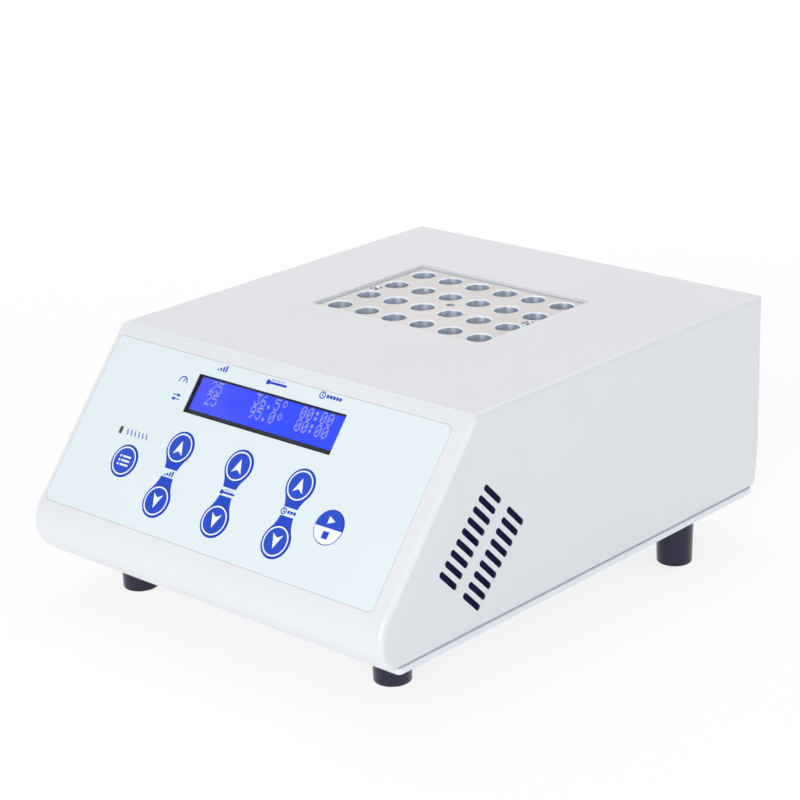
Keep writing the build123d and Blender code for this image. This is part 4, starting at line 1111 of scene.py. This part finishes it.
# Blue print around each pair of keys, with a narrow waist that leaves a gap for the label.
waist_down = (pair_up_down[0] + pair_up_down[1]) / 2
key_reach = (pair_up_down[1] - pair_up_down[0]) / 2
waist_middle = waist_half + waist_radius
touch = degrees(atan2(key_reach, waist_middle))
for index, x in enumerate(pair_x):
    for name, side, cut in (("upper", 1, label_gap[0]), ("lower", -1, label_gap[1])):
        centre_down = waist_down - side * key_reach
        last = degrees(atan2(side * (waist_down - cut), waist_radius))
        left = arc(x - waist_middle, 0.0, waist_radius, touch, last, steps=10)
        right = arc(x + waist_middle, 0.0, waist_radius, 180.0 - last, 180.0 - touch, steps=10)
        crown = arc(x, 0.0, pair_radius, -touch, 180.0 + touch, steps=40)
        outline = [(px, centre_down + side * pd) for px, pd in crown]
        outline += [(px, waist_down + side * pd) for px, pd in left + right]
        hole = disc(x, centre_down, hole_radius)
        inked(f"pair_{index}_{name}", [outline, hole], blue_ink, film_layer, "case")


# Keys. Eight blue plastic caps, each pushed through the film from behind on its stem. The
# start and stop key is half blue, half white. Rings and signs are white ink on the blue,
# and the stop sign is blue ink on the white.
key_blue = (0.016, 0.064, 0.540)
key_blue_shade = (0.022, 0.080, 0.590)
key_rubbed = (0.06, 0.14, 0.70)
key_white = (0.86, 0.90, 0.93)
print_white = (0.86, 0.89, 0.92)
print_shade = (0.80, 0.84, 0.88)
cap_out = 0.35
ring_radii = (6.62, 5.95)
arrow_tip = 3.3
arrow_foot = (2.8, 3.2)
arrow_notch = 1.6
list_pitch = 1.9
list_dot = (-2.9, 1.0, 1.0)
list_line = (0.9, 5.0, 0.9)
start_split = 0.35
split_blur = 0.03
start_triangle = ((-1.5, -4.6), (2.3, -2.9), (-1.5, -1.2))
stop_square_down = 3.5
stop_square_side = 3.2

key_plastic = skinned(
    "key_plastic", key_blue, key_blue_shade, rough=0.34, grain=2400.0, mottle=0.7, spread=0.1,
    worn=key_rubbed, wear=0.3, bump=0.10, edge=0.0004, shine=0.2,
)
white_print = skinned("white_print", print_white, print_shade, rough=0.42, grain=2600.0, bump=0.06)
key_layer = panel_layer(cap_out + print_out)
columns = ("segment", "temperature", "time")
dress(key_plastic, "key_program")

for word, x in zip(columns, pair_x):
    for way, side, down in (("up", -1, pair_up_down[0]), ("down", 1, pair_up_down[1])):
        key = f"key_{word}_{way}"
        dress(key_plastic, key)
        ring = [disc(x, down, radius) for radius in ring_radii]
        head = [(x, down + side * arrow_tip), (x + arrow_foot[0], down - side * arrow_foot[1])]
        head += [(x, down - side * arrow_notch), (x - arrow_foot[0], down - side * arrow_foot[1])]
        inked(f"arrow_{word}_{way}", ring + [head], white_print, key_layer, key)

x, down = program_place
program_ring = [disc(x, down, radius) for radius in ring_radii]
program_list = [
    bar(x + shift, down + line * list_pitch, width, height)
    for line in (-1, 0, 1)
    for shift, width, height in (list_dot, list_line)
]
inked(
    "program_sign", program_ring + program_list, white_print, key_layer, "key_program",
)

two_tone, tree, sockets, height = finish("two_tone_key", key_blue, rough=0.34, bump=0.1, shine=0.2)
skin = use(
    tree, fine_skin, Colour=key_blue, Tint=key_blue_shade, Mottle=0.7, Grain=2400.0, Rough=0.34,
    Spread=0.1,
)
place = add(tree, "ShaderNodeTexCoord").outputs["Object"]
climb = add(
    tree, "ShaderNodeVectorMath", {0: place, 1: tuple(upslope)}, operation="DOT_PRODUCT"
).outputs["Value"]
split = fold.dot(upslope) - (start_place[1] + start_split) * mm
lower = ramp(tree, climb, split + split_blur * mm, split - split_blur * mm)
tree.links.new(colour_mix(tree, lower, skin["Colour"], key_white), sockets["Base Color"])
tree.links.new(skin["Roughness"], sockets["Roughness"])
tree.links.new(skin["Height"], height)
dress(two_tone, "key_start_stop")

x, down = start_place
triangle = [(x + right, down + below) for right, below in start_triangle]
square = bar(x, down + stop_square_down, stop_square_side, stop_square_side)
inked("start_sign", [triangle], white_print, key_layer, "key_start_stop")
inked("stop_sign", [square], blue_ink, key_layer, "key_start_stop")


# Sample block. Sawn from aluminium bar, drilled with 24 wells that end in a taper, and bead
# blasted on top. The wells keep the bright rings of the reamer and the sides the saw's marks. Its
# sharp edges and well rims carry a painted highlight in near white. Two screws hold the block
# down.
block_warm = (0.610, 0.588, 0.580)
block_dull = (0.560, 0.540, 0.535)
# Near white of the painted highlight on the block's sharp edges and well rims.
block_edge_highlight = (0.95, 0.95, 0.97)
block_metal_share = 0.90
blasted_facing = (0.80, 0.98)
well_bright = (0.810, 0.860, 0.930)
well_dark = (0.480, 0.540, 0.680)
well_rings = (0.02, 0.02, 1.0)
well_ring_grains = 1500.0
well_ring_span = (0.35, 0.65)
well_ring_share = 0.5
well_ring_relief = 0.5
well_rough_span = (0.3, 0.7)
well_rough = (0.27, 0.38)
well_anisotropy = 0.8
polish_way = (0.15, 0.0, 1.0)
saw_dull = (0.520, 0.505, 0.500)
saw_stretch = (0.05, 0.05, 1.0)
saw_grains = 900.0
saw_span = (0.4, 0.6)
saw_share = 0.5
saw_depth = 0.5
steel_bright = (0.60, 0.60, 0.62)
steel_dull = (0.42, 0.43, 0.46)

block_metal, tree, sockets, height = finish(
    "block_metal", block_warm, rough=0.5, metal=block_metal_share, bump=0.25, depth=0.00004
)
blasted = use(
    tree, fine_skin, Colour=block_warm, Tint=block_dull, Mottle=0.8, Grain=3500.0, Rough=0.58,
    Spread=0.15,
)
normal = add(tree, "ShaderNodeNewGeometry").outputs["Normal"]
facing_up = add(tree, "ShaderNodeSeparateXYZ", {0: normal}).outputs["Z"]
flat = ramp(tree, maths(tree, "ABSOLUTE", facing_up), *blasted_facing)
reamed = noise(tree, well_ring_grains, stretch=well_rings)
rings = ramp(tree, reamed, *well_ring_span, 0.0, well_ring_share)
bore = colour_mix(tree, rings, well_bright, well_dark)

# The outer sides, found by how near they are to the block's own box, show the saw.
place = add(tree, "ShaderNodeTexCoord").outputs["Object"]
parts = add(tree, "ShaderNodeSeparateXYZ", {0: place}).outputs
block_low, block_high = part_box("sample_block")
block_middle = (block_low + block_high) / 2
sides = []
for i, way in enumerate("XY"):
    off_middle = maths(tree, "ABSOLUTE", maths(tree, "SUBTRACT", parts[way], block_middle[i]))
    half = block_high[i] - block_middle[i]
    sides.append(ramp(tree, off_middle, half - saw_depth * mm, half))
sawn = maths(tree, "MAXIMUM", *sides)
scratches = noise(tree, saw_grains, detail=3.0, stretch=saw_stretch)
saw_marks = ramp(tree, scratches, *saw_span, 0.0, saw_share)
saw_colour = colour_mix(tree, saw_marks, blasted["Colour"], saw_dull)
upright_colour = colour_mix(tree, sawn, bore, saw_colour)
# Painted highlight: near white on the sharp edges and well rims.
rim = use(
    tree, edge_wear_and_highlight, Colour=colour_mix(tree, flat, upright_colour, blasted["Colour"]),
    Worn=block_edge_highlight, Width=0.0006, Amount=0.6,
)
tree.links.new(rim["Colour"], sockets["Base Color"])
sockets["Anisotropic"].default_value = well_anisotropy
polish = add(tree, "ShaderNodeCombineXYZ", dict(enumerate(polish_way)))
tree.links.new(polish.outputs[0], sockets["Tangent"])
bore_rough = ramp(tree, reamed, *well_rough_span, *well_rough)
top_rough = maths(
    tree, "MULTIPLY", flat, maths(tree, "SUBTRACT", blasted["Roughness"], bore_rough)
)
tree.links.new(maths(tree, "ADD", bore_rough, top_rough), sockets["Roughness"])
top_relief = maths(tree, "MULTIPLY", blasted["Height"], flat)
bore_relief = maths(tree, "MULTIPLY", reamed, well_ring_relief)
tree.links.new(maths(tree, "ADD", top_relief, bore_relief), height)
dress(block_metal, "sample_block")
dress(metalled("block_screw_steel", steel_bright, steel_dull, rough=0.25), "block_screws")
